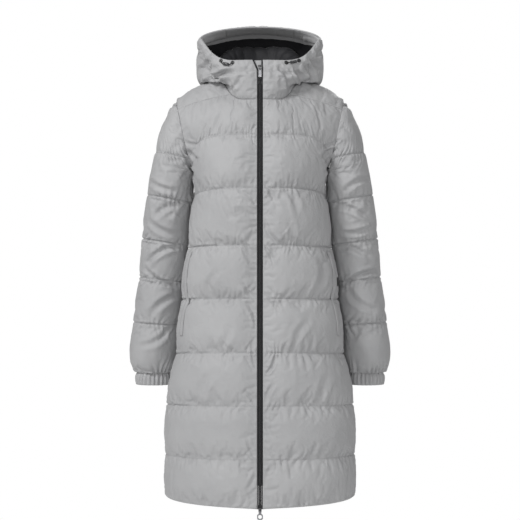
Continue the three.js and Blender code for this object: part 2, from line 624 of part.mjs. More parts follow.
// Lining and facing: slices of the hood's whole inner surface, between two rings
function innerLayer(name, rings, material, seams) {
  const { grid, normals } = wholeSlice(YOKE_NECK, 360 - YOKE_NECK);
  const row = (table, ring, blend) => {
    const low = Math.floor(ring);
    if (low === ring) return table[low];
    return table[low].map((item, i) => blend(item, table[low + 1][i], ring - low));
  };
  const piece = {
    grid: rings.map((ring) => row(grid, ring, (a, b, t) => cell(a.point.clone().lerp(b.point, t), 0))),
    normals: rings.map((ring) => row(normals, ring, (a, b, t) => a.clone().lerp(b, t).normalize())),
    wall: LINING.wall,
    offset: WALL + LINING.gap,
    seams,
    shared: 'none',
  };
  add(name, wallGeometry(wallPoints(piece)), material);
}
innerLayer('hood_lining', [LINING.start, ...allRings.slice(1, TUNNEL + 1)], lining, { top: true });
innerLayer('hood_facing', allRings.slice(TUNNEL), shell, { bottom: true });

// The line along which the zip runs, from the hem to the collar's top, at one front's edge
function frontEdge(side) {
  const collarEdge = allRings.slice(1).map((ring) => around(ring, 0));
  const points = [...front.map((row) => row[0].point), ...collarEdge];
  return side === 'left' ? points : points.map((point) => turnOut(flip(point)));
}

// A strip along the zip: each row's points lie at the given distances from the edge
function stripPiece(name, rows, { wall, offset, puff = 0 }, material) {
  const grid = rows.map((row) => row.map((point) => cell(point, puff)));
  const normals = gridNormals(grid, Infinity);
  normals.forEach((row) => row.forEach((normal) => normal.setX(0).normalize()));
  add(name, wallGeometry(wallPoints({ grid, normals, wall, offset, shared: 'none' })), material);
}
const shiftX = (point, x) => mm(x, point.y, point.z);

function buildZip() {
  const left = frontEdge('left');
  const right = frontEdge('right');
  const tapeWall = { wall: TAPE.wall, offset: TAPE.sunk };
  const reach = ZIP_HALF - SEAM_GAP - TAPE.inner;
  const leftRows = left.map((p) => [shiftX(p, TAPE.inner), shiftX(p, p.x - SEAM_GAP)]);
  const rightRows = right.map((p) => [shiftX(p, p.x + SEAM_GAP), shiftX(p, p.x + SEAM_GAP + reach)]);
  stripPiece('zip_tape_left', leftRows, tapeWall, black);
  stripPiece('zip_tape_right', rightRows, tapeWall, black);
  const run = left.filter((p) => p.z > CHAIN.foot && p.z < CHAIN.top);
  const ends = [shiftX(left[0], 0).setZ(CHAIN.foot), ...run, shiftX(last(run), 0).setZ(CHAIN.top)];
  const chainRows = ends.map((p) => [-1, 0, 1].map((side) => shiftX(p, side * CHAIN.half)));
  stripPiece('zip_chain', chainRows, { wall: CHAIN.wall, offset: 0, puff: CHAIN.raised }, black);
  const guardRows = allRings.slice(GUARD.ring).map((ring) => {
    const [beside, edge] = openCollar[ring].slice(-2).map(({ point }) => point);
    const [leftEdge, leftBeside] = collar[ring].map(({ point }) => point);
    const start = edge.clone().lerp(beside, GUARD.reach);
    return [start, edge, leftEdge, leftEdge.clone().lerp(leftBeside, GUARD.reach / 2)];
  });
  stripPiece('zip_guard', guardRows, { wall: GUARD.wall, offset: WALL + SEAM_GAP * 2 }, shell);
}

// Solids for joining and cutting
function toSolid(geometry) {
  const plain = geometry.clone();
  plain.deleteAttribute('normal');
  plain.deleteAttribute('uv');
  const merged = mergeVertices(plain, 1e-4);
  return new wasm.Manifold(new wasm.Mesh({
    numProp: 3,
    vertProperties: new Float32Array(merged.attributes.position.array),
    triVerts: new Uint32Array(merged.index.array),
  }));
}
function fromSolid(solid) {
  const { vertProperties, triVerts } = solid.getMesh();
  const geometry = new THREE.BufferGeometry();
  geometry.setAttribute('position', new THREE.Float32BufferAttribute(vertProperties, 3));
  geometry.setIndex(new THREE.Uint32BufferAttribute(triVerts, 1));
  return geometry;
}

// A plate cut from an outline in x and z. Its back lies at y = 0 and it grows to the front.
function plate(shape, thick) {
  const options = { depth: thick, bevelEnabled: false, curveSegments: 3 };
  return new THREE.ExtrudeGeometry(shape, options).rotateX(Math.PI / 2);
}

// Rounded rectangle from its centre, or its upper edge where it hangs
function roundedShape(width, bottom, top, radius) {
  const half = width / 2;
  const shape = new THREE.Shape();
  shape.moveTo(-half + radius, bottom);
  shape.lineTo(half - radius, bottom);
  shape.absarc(half - radius, bottom + radius, radius, -Math.PI / 2, 0);
  shape.lineTo(half, top - radius);
  shape.absarc(half - radius, top - radius, radius, 0, Math.PI / 2);
  shape.lineTo(-half + radius, top);
  shape.absarc(-half + radius, top - radius, radius, Math.PI / 2, Math.PI);
  shape.lineTo(-half, bottom + radius);
  shape.absarc(-half + radius, bottom + radius, radius, Math.PI, Math.PI * 1.5);
  return shape;
}

// Slider: its front plate, and the crown that the pull's bar hangs in
function sliderGeometry(height) {
  const { width, waist, thick } = SLIDER;
  const outline = new THREE.Shape([
    [-width / 2, height / 2], [-width / 2, height / 8], [-waist / 2, -height / 2],
    [waist / 2, -height / 2], [width / 2, height / 8], [width / 2, height / 2],
  ].map(([x, z]) => new THREE.Vector2(x, z)));
  const arch = new THREE.Shape();
  arch.moveTo(-0.2, -CROWN.half);
  arch.absellipse(-0.2, 0, CROWN.reach + 0.2, CROWN.half, -Math.PI / 2, Math.PI / 2);
  const eye = new THREE.Path();
  eye.absellipse(0, 0, CROWN.holeReach, CROWN.holeHalf, -Math.PI / 2, Math.PI / 2);
  arch.holes.push(eye);
  const loop = { depth: CROWN.width, bevelEnabled: false, curveSegments: 10 };
  const crown = new THREE.ExtrudeGeometry(arch, loop);
  crown.translate(0, 0, -CROWN.width / 2);
  crown.applyMatrix4(new THREE.Matrix4().makeBasis(mm(0, -1, 0), mm(0, 0, 1), mm(-1, 0, 0)));
  crown.translate(0, -thick, 0);
  return fromSolid(toSolid(plate(outline, thick)).add(toSolid(crown)));
}

// Pull: it hangs from its bar, whose middle is the pivot
function pullGeometry({ neck: neckWidth, width, length, endTop, corner, ringWall }) {
  const cutter = (shape) => toSolid(plate(shape, PULL.thick * 3).translate(0, PULL.thick, 0));
  const neckFoot = -(length + endTop) / 2;
  const body = toSolid(plate(roundedShape(neckWidth, neckFoot, PULL.bar / 2, 0.5), PULL.thick));
  const eye = cutter(roundedShape(PULL.hole, -PULL.drop, -PULL.bar / 2, 0.3));
  const end = toSolid(plate(roundedShape(width, -length, -endTop, corner), PULL.thick));
  let solid = body.subtract(eye).add(end);
  if (ringWall) {
    const ringCorner = corner - ringWall / 2;
    solid = solid.subtract(cutter(
      roundedShape(width - 2 * ringWall, -length + ringWall, -endTop - ringWall, ringCorner),
    ));
  }
  return fromSolid(solid).translate(0, PULL.thick / 2, 0);
}

// Depth of the chain's front face at a height
function chainFace(z) {
  const edge = frontEdge('left');
  const i = Math.max(1, edge.findIndex((point) => point.z > z));
  const share = clamp((z - edge[i - 1].z) / (edge[i].z - edge[i - 1].z), 0, 1);
  return lerp(edge[i - 1].y, edge[i].y, share) - CHAIN.raised;
}

function buildSlider(end, pull) {
  const { z, height } = SLIDER_AT[end];
  const y = Math.min(...[-1, 0, 1].map((side) => chainFace(z + (side * height) / 2))) - SEAM_GAP;
  const slider = add(`slider_${end}`, sliderGeometry(height), black);
  slider.position.set(0, y, z);
  const hanging = add(`pull_${end}`, pullGeometry(pull), steel);
  hanging.position.set(0, y - SLIDER.thick - CROWN.holeReach / 2, z);
}

// What lies on a front, made from its points, moved out
function onFront(name, piece, { top, bottom, column, from, to, wall }, material) {
  const { outer } = piece.walls;
  const mirror = name.endsWith('_right');
  const columnAt = (points, c) => (mirror ? points[points.length - 1 - c] : points[c]);
  const rowAt = (z, c) => {
    const r = outer.findIndex((points) => columnAt(points, c).z > z) - 1;
    const a = columnAt(outer[r], c);
    const b = columnAt(outer[r + 1], c);
    return r + (z - a.z) / (b.z - a.z);
  };
  const start = rowAt(bottom, column);
  const end = rowAt(top, column);
  const rows = [start];
  for (let r = Math.ceil(start + 1e-3); r < end; r += 1) rows.push(r);
  rows.push(end);
  const grid = rows.map((row) => [from, to].map((share) => {
    const r = Math.min(Math.floor(row), outer.length - 2);
    const edge = (k) => columnAt(outer[k], column).clone().lerp(columnAt(outer[k], column + 1), share);
    return cell(edge(r).lerp(edge(r + 1), row - r), 0);
  }));
  if (mirror) grid.forEach((row) => row.reverse());
  const normals = gridNormals(grid, Infinity);
  const lift = wall + SEAM_GAP * 2;
  add(name, wallGeometry(wallPoints({ grid, normals, wall, offset: -lift, shared: 'none' })), material);
}

// Cord: its two eyelets on the tunnel, the stretch between them and the lock on it
function buildHoodCord(side, piece) {
  const sign = side === 'left' ? 1 : -1;
  const { outer } = piece.walls;
  const seats = EYELET.angles.map((angle, i) => {
    const c = NECK_ANGLES.findIndex((a) => a > angle) - 1;
    const share = (angle - NECK_ANGLES[c]) / (NECK_ANGLES[c + 1] - NECK_ANGLES[c]);
    const r = Math.floor(EYELET.ring);
    const at = (row, k) => (sign > 0 ? outer[row][k] : outer[row][outer[row].length - 1 - k]);
    const low = at(r, c).clone().lerp(at(r, c + 1), share);
    const high = at(r + 1, c).clone().lerp(at(r + 1, c + 1), share);
    const across = at(r, c + 1).clone().sub(at(r, c)).multiplyScalar(sign);
    const normal = across.cross(high.clone().sub(low)).normalize();
    const point = low.lerp(high, EYELET.ring - r).addScaledVector(normal, SEAM_GAP * 2);
    const { inner, outer: rim, height } = EYELET;
    const ring = new THREE.LatheGeometry([
      [inner, 0], [rim, 0], [rim - 0.8, height], [inner + 0.5, height], [inner, 0],
    ].map(([x, y]) => new THREE.Vector2(x, y)), 12);
    const mesh = add(`eyelet_${side}_${i === 0 ? 'inner' : 'outer'}`, ring, black);
    mesh.quaternion.setFromUnitVectors(mm(0, 1, 0), normal);
    mesh.position.copy(point);
    return { point, normal };
  });
  const [a, b] = seats;
  const along = b.point.clone().sub(a.point).normalize();
  const stand = a.normal.clone().add(b.normal).normalize();
  const above = ({ point, normal }, height) => point.clone().addScaledVector(normal, height);
  const middle = above(a, EYELET.height).lerp(above(b, EYELET.height), 0.5);
  middle.addScaledVector(stand, CORD.stand);
  middle.z -= CORD_SAG[side];
  const half = LOCK.length / 2 + 0.6;
  const route = [
    above(a, -SEAM_GAP),
    above(a, EYELET.height),
    above(a, EYELET.height + CORD.run),
    middle.clone().addScaledVector(along, -half - 1.5),
    middle.clone().addScaledVector(along, -half),
    middle.clone().addScaledVector(along, half),
    middle.clone().addScaledVector(along, half + 1.5),
    above(b, EYELET.height + CORD.run),
    above(b, EYELET.height),
    above(b, -SEAM_GAP),
  ];
  const curve = new THREE.CatmullRomCurve3(route, false, 'centripetal');
  const section = new THREE.Shape();
  section.absarc(0, 0, CORD.radius, 0, Math.PI * 2);
  const cord = new THREE.ExtrudeGeometry(section, {
    steps: CORD.steps, extrudePath: curve, curveSegments: CORD.sides / 2, bevelEnabled: false,
  });
  add(`drawcord_${side}`, cord, black);
  const { length, radius, bore } = LOCK;
  const end = length / 2;
  const barrel = new THREE.LatheGeometry([
    [bore, -end], [radius * 0.7, -end], [radius, -end + 2], [radius, end - 2],
    [radius * 0.7, end], [bore, end], [bore, -end],
  ].map(([x, y]) => new THREE.Vector2(x, y)), 12);
  const lock = add(`cord_lock_${side}`, barrel, black);
  lock.quaternion.setFromUnitVectors(mm(0, 1, 0), along);
  lock.position.copy(middle);
}

const pieceNamed = (name) => clothPieces.find((piece) => piece.name === name);
buildZip();
buildSlider('top', TOP_PULL);
buildSlider('bottom', BOTTOM_PULL);
onFront('pocket_welt_left', pieceNamed('front_left'), POCKET, shell);
onFront('pocket_welt_right', pieceNamed('front_right'), POCKET, shell);
onFront('pocket_tab', pieceNamed('front_left'), TAB, black);
buildHoodCord('left', pieceNamed('collar_left'));
buildHoodCord('right', pieceNamed('collar_right'));

export default coat;
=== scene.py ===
# Long hooded puffer coat, dressed over its solids. Measures in mm are named so; objects are in metres.
import math

import bpy
import numpy as np
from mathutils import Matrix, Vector


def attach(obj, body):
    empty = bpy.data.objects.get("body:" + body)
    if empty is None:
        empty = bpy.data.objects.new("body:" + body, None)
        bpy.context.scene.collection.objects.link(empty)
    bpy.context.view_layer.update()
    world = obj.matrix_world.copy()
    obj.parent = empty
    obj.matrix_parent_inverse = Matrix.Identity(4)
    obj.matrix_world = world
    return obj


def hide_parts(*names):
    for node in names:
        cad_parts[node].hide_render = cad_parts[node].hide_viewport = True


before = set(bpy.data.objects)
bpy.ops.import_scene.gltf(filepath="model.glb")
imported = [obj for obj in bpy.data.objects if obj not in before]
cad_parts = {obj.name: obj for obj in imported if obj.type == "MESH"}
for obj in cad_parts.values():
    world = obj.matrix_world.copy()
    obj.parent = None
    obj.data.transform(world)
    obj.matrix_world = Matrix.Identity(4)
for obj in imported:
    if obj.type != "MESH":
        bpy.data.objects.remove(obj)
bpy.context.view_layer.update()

MM = 0.001
rng = np.random.default_rng(11)
scene = bpy.context.scene

# Camera
CAMERA = {"y": -3.3, "z": -0.431, "lens": 93.25, "sensor": 36}
camera_data = bpy.data.cameras.new("camera")
camera_data.lens = CAMERA["lens"]
camera_data.sensor_width = CAMERA["sensor"]
camera = bpy.data.objects.new("camera", camera_data)
camera.location = (0, CAMERA["y"], CAMERA["z"])
camera.rotation_euler = (math.pi / 2, 0, 0)
scene.collection.objects.link(camera)
scene.camera = camera


def table(columns, rows):
    """Columns of numbers by their names"""
    return {name: np.array([row[i] for row in rows], float) for i, name in enumerate(columns.split())}


# The garment's measures, in mm, as in the solids
SEAM_GAP = 0.3
SAME = 1e-6  # values closer than this are one
WALL = 3
ZIP_HALF = 7
CENTRE_Y = 4
ROUNDNESS = 2.2

BODY = table("z width front back", [
    (-1015, 229, 155, 148),
    (-898, 229, 157, 149),
    (-773, 224, 153, 146),
    (-649, 200, 146, 136),
    (-522, 187, 138, 117),
    (-396, 172, 143, 109),
    (-262, 159, 151, 120),
    (-200, 158, 147, 124),
    (-135, 160, 135, 121),
    (-80, 160, 122, 108),
])
# Quilt lines: heights at centre front, side and centre back, how fast the line droops to the side, and
# the puff of the baffle above the line
QUILT = table("front side back droop puff", [
    (-1014, -1005, -1009, 0.6, 8),
    (-898, -904, -898, 2, 9),
    (-773, -784, -773, 2, 11),
    (-649, -661, -649, 2, 14),
    (-522, -528, -522, 2, 16),
    (-396, -404, -396, 2, 16),
    (-262, -284, -262, 3, 0),
])
BAFFLE_STEPS = [0, 0.2, 0.5, 0.8]
# Rows beside the armhole: share of the baffle, height at the centres, side height or armhole angle, droop
CHEST_ROWS = [
    (0.25, -230, -253, None, 3),
    (0.5, -199, None, 180, 3),
    (0.75, -167, None, 150, 3.5),
    (1, -135, None, 127, 4),
]
SHOULDER_ROWS = [(0.25, -121, 105), (0.5, -107, 80), (0.75, -94, 60), (1, -80, 40)]
CHEST_PUFF = 15
SHOULDER_PUFF = 12
YOKE_PUFF = 9
SIDE_PUFF = 0.4
BAFFLE_FULLNESS = 0.7  # power of the sine across a baffle: lower is fuller
ZIP_FADE = 0.16  # share of the front's width over which the puff falls to the zip
SIDE_FADE = {"free": 0.8, "pressed": 0.6}  # where the puff starts to fall to the side seam
ARM_PRESS = {"from": -560, "full": -300, "keep": 0.15}
FRONT_COLUMNS = [0, 0.12, 0.25, 0.38, 0.5, 0.62, 0.73, 0.82, 0.91, 1]
BACK_COLUMNS = [1, 0.88, 0.72, 0.54, 0.36, 0.18, 0, -0.18, -0.36, -0.54, -0.72, -0.88, -1]
NECK_ANGLES = [0, 14, 28, 41, 49.6]
YOKE_NECK = NECK_ANGLES[-1]
BACK_NECK = 115
YOKE_SHARES = [0, 0.2, 0.42, 0.66, 0.86, 1]
YOKE_BOW = {"depth": -9, "rise": 3, "shoulder": 6}
YOKE_FADE = 1.5  # in columns from its front edges
ARMHOLE = {"x": 187, "top": 18, "bottom": 24, "sway": 3, "y": CENTRE_Y, "depth": 74, "z": -134, "height": 88}
ARMHOLE_REACH = 3
SWAY_FADE = 60  # height below the armhole over which the sleeve loses the armhole's sway
YOKE_ANGLES = [-40, -20, 0, 20, 40]
# Sleeve head: armhole angle, height and reach of the outermost point, share, depth, rise of the puff
HEAD_ROWS = [
    (20, -57, 213, 0.14, 74, 4),
    (40, -67, 221, 0.27, 74, 4),
    (60, -85, 230, 0.42, 74, 4),
    (80, -109, 239, 0.6, 74, 4),
    (105, -139, 248, 0.8, 74, 4),
    (127, -169, 255, 1, 74, 4),
    (150, -195, 260, 1.25, 72, 2),
    (180, -221, 265, 1.5, 70, 1),
]
SLEEVE = table("z reach width y depth dip", [
    (-221, 265, 51, CENTRE_Y, 70, 1),
    (-246, 270, 51, 9, 68, 12),
    (-272, 275, 52, 15, 65.5, 18),
    (-378, 288, 53, 39, 60, 16),
    (-473, 297, 53, 53, 58, 12),
    (-585, 313, 54, 61, 58, 6),
    (-655, 322, 56, 66, 57, 3),
    (-690, 319, 52, 68, 50, 1),
    (-711, 308, 44, 69, 40, 0),
])
SLEEVE_LINES = [-169, -272, -378, -473, -585, -711]
SLEEVE_PUFFS = [11, 11, 12, 12, 12, 10]
SLEEVE_STEPS = [0.22, 0.5, 0.78, 1]
SLEEVE_COLUMNS = 15
SLEEVE_FLAT = 0.35
CUFF = {"length": 30, "pleats": 26, "height": 3, "wall": 2.4}
# Hood rings from the neck seam to the hood's edge
HOOD = table("ring width front back zFront zSide zBack late puff", [
    (0, 88, -112, 78, -50, -6, 12, 1.6, 0),
    (1, 90, -114, 80, -42, 14, 48, 1.6, 1),
    (2, 96, -115, 88, -34, 34, 84, 1.6, 3),
    (3, 106, -116, 103, -27, 42, 98, 1.6, 3),
    (4, 116, -116, 119, -20, 36, 78, 1.6, 3),
    (5, 123, -116, 128, -14, 16, 22, 2, 3),
    (6, 130, -116, 136, -8, 4, -34, 2.6, 4),
    (7, 142, -116, 152, -3, 4, -42, 2.6, 4),
    (8, 149, -116, 169, 2, 21, -14, 2, 5),
    (9, 151, -116, 179, 6, 41, 44, 1.4, 6),
    (10, 151, -116, 168, 10, 61, 100, 1, 4),
    (11, 150.5, -116, 128, 13, 72, 136, 1, 2),
    (12, 150, -115.5, 84, 16, 80, 146, 1, 0),
    (13, 150.5, -114, 64, 30, 92, 148.5, 1, 2.5),
    (14, 149, -111, 46, 43, 103, 149, 1, 0),
])
RIM = 14
TUNNEL = 12
HOOD_CORNER = (0.2, 0.95)
HOOD_WIDEST = 8  # ring whose length gives the number of columns
HOOD_ANGLES = 9
HOOD_FADE = 0.12
PANEL_SEAM = BACK_NECK + (180 - BACK_NECK) * (1 - 0.54)
LINING = {"gap": 1.2, "start": 0.4, "rows": 90, "columns": 150}
GUARD = {"reach": 0.4, "wall": 1.4, "ring": 6, "rows": 24, "columns": 13, "uneven": 0.2}
OPEN_TOP = {"z": 17, "turn": 11, "angle": 41}
COLLAR_PUFF = 0.7
TAPE = {"inner": 3.1, "sunk": 0.9, "wall": 1.2, "rows": 40, "columns": 4}
CHAIN = {"half": 2.8, "foot": -1011, "top": 27, "rows": 200, "columns": 5, "sunk": 0.35, "wall": 1.4}


def vec(x, y, z):
    return np.stack(np.broadcast_arrays(np.asarray(x, float), y, z), axis=-1)


def lerp(a, b, t):
    return a + (b - a) * t


def smooth(x, low, high):
    t = np.clip((np.asarray(x, float) - low) / (high - low), 0, 1)
    return t * t * (3 - 2 * t)


def unit(v):
    return v / np.maximum(np.linalg.norm(v, axis=-1, keepdims=True), 1e-9)


def spline(keys, values, at):
    """Smooth curve through values at rising keys, read at the places at"""
    keys = np.asarray(keys, float)
    values = np.asarray(values, float)
    slopes = np.empty_like(values)
    gaps = keys.reshape(-1, *[1] * (values.ndim - 1))
    slopes[1:-1] = (values[2:] - values[:-2]) / (gaps[2:] - gaps[:-2])
    slopes[0] = (values[1] - values[0]) / (gaps[1] - gaps[0])
    slopes[-1] = (values[-1] - values[-2]) / (gaps[-1] - gaps[-2])
    at = np.clip(np.asarray(at, float), keys[0], keys[-1])
    i = np.clip(np.searchsorted(keys, at, side="right") - 1, 0, len(keys) - 2)
    fit = [*at.shape, *[1] * (values.ndim - 1)]
    step = (keys[i + 1] - keys[i]).reshape(fit)
    t = ((at - keys[i]) / (keys[i + 1] - keys[i])).reshape(fit)
    line = lerp(values[i], values[i + 1], 3 * t**2 - 2 * t**3)
    return line + step * (slopes[i] * (t**3 - 2 * t**2 + t) + slopes[i + 1] * (t**3 - t**2))


def read(curve, place, column):
    """A column of a table at places along its first column"""
    keys = next(iter(curve.values()))
    values = curve[column]
    if keys[0] > keys[-1]:
        keys = keys[::-1]
        values = values[::-1]
    return spline(keys, values, place)


def baffle(share):
    """Height of a baffle from 0 to 1 between its two stitch lines"""
    return np.maximum(np.sin(np.pi * np.asarray(share, float)), 0) ** BAFFLE_FULLNESS


def armhole(angle):
    """Point of the left armhole, by its angle from the top over the back"""
    a = np.radians(np.asarray(angle, float))
    cos = np.cos(a)
    sin = np.sin(a)
    lean = np.where(cos > 0, ARMHOLE["top"] * cos, -ARMHOLE["bottom"] * np.maximum(-cos, 0) ** 1.2)
    return vec(
        ARMHOLE["x"] + lean + ARMHOLE["sway"] * sin,
        ARMHOLE["y"] + ARMHOLE["depth"] * sin,
        ARMHOLE["z"] + ARMHOLE["height"] * cos,
    )


def on_armhole(points):
    """The points, with those that lie within a few mm of the left armhole's line moved onto it"""
    across = (points[..., 1] - ARMHOLE["y"]) / ARMHOLE["depth"]
    up = (points[..., 2] - ARMHOLE["z"]) / ARMHOLE["height"]
    line = armhole(np.degrees(np.arctan2(across, up)))
    near = np.linalg.norm(line - points, axis=-1) < ARMHOLE_REACH
    return np.where(near[..., None], line, points)


def around(ring, angle):
    """Point on a ring of the collar and hood, round from the centre front"""
    ring, angle = np.broadcast_arrays(np.asarray(ring, float), np.asarray(angle, float))
    right = angle > 180
    a = np.radians(np.where(right, 360 - angle, angle))
    cos = np.cos(a)
    width, front, back, late, low, side, high = (
        read(HOOD, ring, name) for name in ("width", "front", "back", "late", "zFront", "zSide", "zBack")
    )
    x = np.where(cos > 0, ZIP_HALF + (width - ZIP_HALF) * np.sin(a), width * np.sin(a))
    middle = (front + back) / 2
    y = np.where(cos > 0, lerp(middle, front, cos), lerp(middle, back, -cos))
    front_share = smooth(cos, *HOOD_CORNER)
    back_share = np.maximum(-cos, 0) ** late
    z = front_share * low + back_share * high + (1 - front_share - back_share) * side
    return vec(np.where(right, -x, x), y, z)


def yoke_seam(share):
    """Point of the seam between the front and the yoke, from the neck (0) to the armhole (1)"""
    share = np.asarray(share, float)[..., None]
    arch = 4 * share * (1 - share)
    straight = lerp(around(0, YOKE_NECK), armhole(YOKE_ANGLES[0]), share)
    return straight + arch * np.array([0, YOKE_BOW["depth"], YOKE_BOW["rise"]])


def quarter(share, face, middle, end, droop):
    """Row of the body from its middle (0) to the side or armhole (1), before or behind"""
    depth = read(BODY, middle, face)
    sign = -1 if face == "front" else 1
    reach_y = np.clip((end[1] - CENTRE_Y) * sign / depth, 0, 1)
    end_theta = np.arccos(reach_y ** (ROUNDNESS / 2))
    start = ZIP_HALF if face == "front" else 0
    width = (end[0] - start) / np.sin(end_theta) ** (2 / ROUNDNESS)
    theta = end_theta * share
    return vec(
        start + width * np.sin(theta) ** (2 / ROUNDNESS),
        CENTRE_Y + sign * depth * np.maximum(np.cos(theta), 0) ** (2 / ROUNDNESS),
        middle + (end[2] - middle) * share**droop,
    )


def side_seam(z):
    return np.array([read(BODY, z, "width"), CENTRE_Y, z])


def body_rows():
    """Rows below the shoulder: level (baffle and share of it), heights, end of the row, droop"""
    rows = []
    last = len(QUILT["front"]) - 1
    for i, share in [(i, share) for i in range(last) for share in BAFFLE_STEPS] + [(last, 0)]:
        at = {key: lerp(line[i], line[min(i + 1, last)], share) for key, line in QUILT.items()}
        rows.append({**at, "level": i + share, "angle": None, "end": side_seam(at["side"])})
    for share, middle, side, angle, droop in CHEST_ROWS:
        end = armhole(angle) if angle else side_seam(side)
        at = {"front": middle, "back": middle, "angle": angle, "droop": droop}
        rows.append({**at, "level": last + share, "end": end})
    return rows


BODY_PUFFS = [*QUILT["puff"][:-1], CHEST_PUFF, SHOULDER_PUFF]


def side_fade(share, angle, end_z):
    """How much of a row's puff is left towards its side seam, where the arm presses on it"""
    press = smooth(end_z, ARM_PRESS["from"], ARM_PRESS["full"])
    at_seam = 0 if angle else lerp(SIDE_PUFF, ARM_PRESS["keep"], press)
    return lerp(1, at_seam, smooth(share, lerp(SIDE_FADE["free"], SIDE_FADE["pressed"], press), 1))


def steps_between(points, step):
    """How many steps fit between each pair of rows of points"""
    gaps = np.linalg.norm(np.diff(points, axis=0), axis=-1).mean(axis=-1)
    return np.maximum(np.round(gaps / step).astype(int), 1)


def fine_keys(keys, counts):
    """Each key, with counts - 1 more between it and the next"""
    parts = [np.linspace(a, b, n, endpoint=False) for a, b, n in zip(keys[:-1], keys[1:], counts)]
    return np.concatenate([*parts, [keys[-1]]])


def rows_at(places, keys, rows):
    """Rows read on straight lines at places along rising keys"""
    return np.stack([np.interp(places, keys, column) for column in rows.T], axis=-1)


def fine_rows(rows, fades, levels):
    """Rows of points at coarse levels, with smooth rows put between them"""
    rows = np.array(rows)
    keys = np.arange(len(rows), dtype=float)
    at = fine_keys(keys, steps_between(rows, STEP))
    lengths = np.concatenate([[0], np.cumsum(np.linalg.norm(np.diff(rows, axis=0), axis=-1).mean(axis=-1))])
    points = spline(lengths, rows, np.interp(at, keys, lengths))
    return points, rows_at(at, keys, np.array(fades)), np.interp(at, keys, levels)


def front_grid():
    """The left front: points from the hem up and from the zip to the side, puff, levels and shares"""
    coarse = np.arange(len(FRONT_COLUMNS), dtype=float)
    hem = quarter(np.array(FRONT_COLUMNS), "front", BODY["z"][1], side_seam(BODY["z"][1]), 2)
    counts = steps_between(hem[:, None], STEP)
    c = fine_keys(coarse, counts)
    share = np.interp(c, coarse, FRONT_COLUMNS)
    zip_fade = smooth(share, 0, ZIP_FADE)
    points, fades, levels = [], [], []
    for row in body_rows():
        end = armhole(-row["angle"]) if row["angle"] else row["end"]
        points.append(quarter(share, "front", row["front"], end, row["droop"]))
        fades.append(zip_fade * side_fade(share, row["angle"], end[2]))
        levels.append(row["level"])
    lowest = points[-1]
    necks = len(NECK_ANGLES) - 1
    neck = around(0, np.interp(c, range(necks + 1), NECK_ANGLES))
    seam_share = np.interp(c, necks + np.arange(len(YOKE_SHARES)), YOKE_SHARES)
    top = np.where((c <= necks)[:, None], neck, yoke_seam(seam_share))
    base = levels[-1]
    for part, _, angle in SHOULDER_ROWS:
        seam = armhole(-angle)
        middle = lerp(lowest[-1], yoke_seam(1.0), part)
        point = lerp(lowest, top, part) + (seam - middle) * share[:, None] ** 3
        points.append(point)
        fades.append(zip_fade * side_fade(share, angle, seam[2]))
        levels.append(base + part)
    points, fade, level = fine_rows(points, fades, levels)
    points[:, -1] = on_armhole(points[:, -1])
    return points, puff_of(level, BODY_PUFFS) * fade, level, share


def puff_of(level, heights):
    """Puff of each row, from its baffle's height and its share of the baffle"""
    index = np.clip(np.floor(level + SAME).astype(int), 0, len(heights) - 1)
    share = level - index
    return (np.array(heights)[index] * baffle(np.clip(share, 0, 1)))[:, None]


def back_row(column, row):
    """Points of one row of the back, at columns from the left side (1) to the right (-1)"""
    share = np.abs(column)
    point = quarter(share, "back", row["back"], row["end"], row["droop"])
    point[..., 0] *= np.where(column < 0, -1, 1)
    return point


def back_rows():
    """The body's rows with those beside the upper armhole"""
    rows = body_rows()
    base = rows[-1]["level"]
    for part, back, angle in SHOULDER_ROWS:
        rows.append({"level": base + part, "back": back, "angle": angle, "droop": 3, "end": armhole(angle)})
    return rows


def back_grid():
    """The back: points from the hem up and from left to right, puff, levels, columns"""
    rows = back_rows()
    coarse = np.arange(len(BACK_COLUMNS), dtype=float)
    counts = steps_between(back_row(np.array(BACK_COLUMNS), rows[len(BAFFLE_STEPS)])[:, None], STEP)
    column = np.interp(fine_keys(coarse, counts), coarse, BACK_COLUMNS)
    points = [back_row(column, row) for row in rows]
    fades = [side_fade(np.abs(column), row["angle"], row["end"][2]) for row in rows]
    points, fade, level = fine_rows(points, fades, [row["level"] for row in rows])
    points[:, 0] = on_armhole(points[:, 0])
    points[:, -1] = mirror(on_armhole(mirror(points[:, -1:])))[:, 0]
    return points, puff_of(level, BODY_PUFFS) * fade, level, column


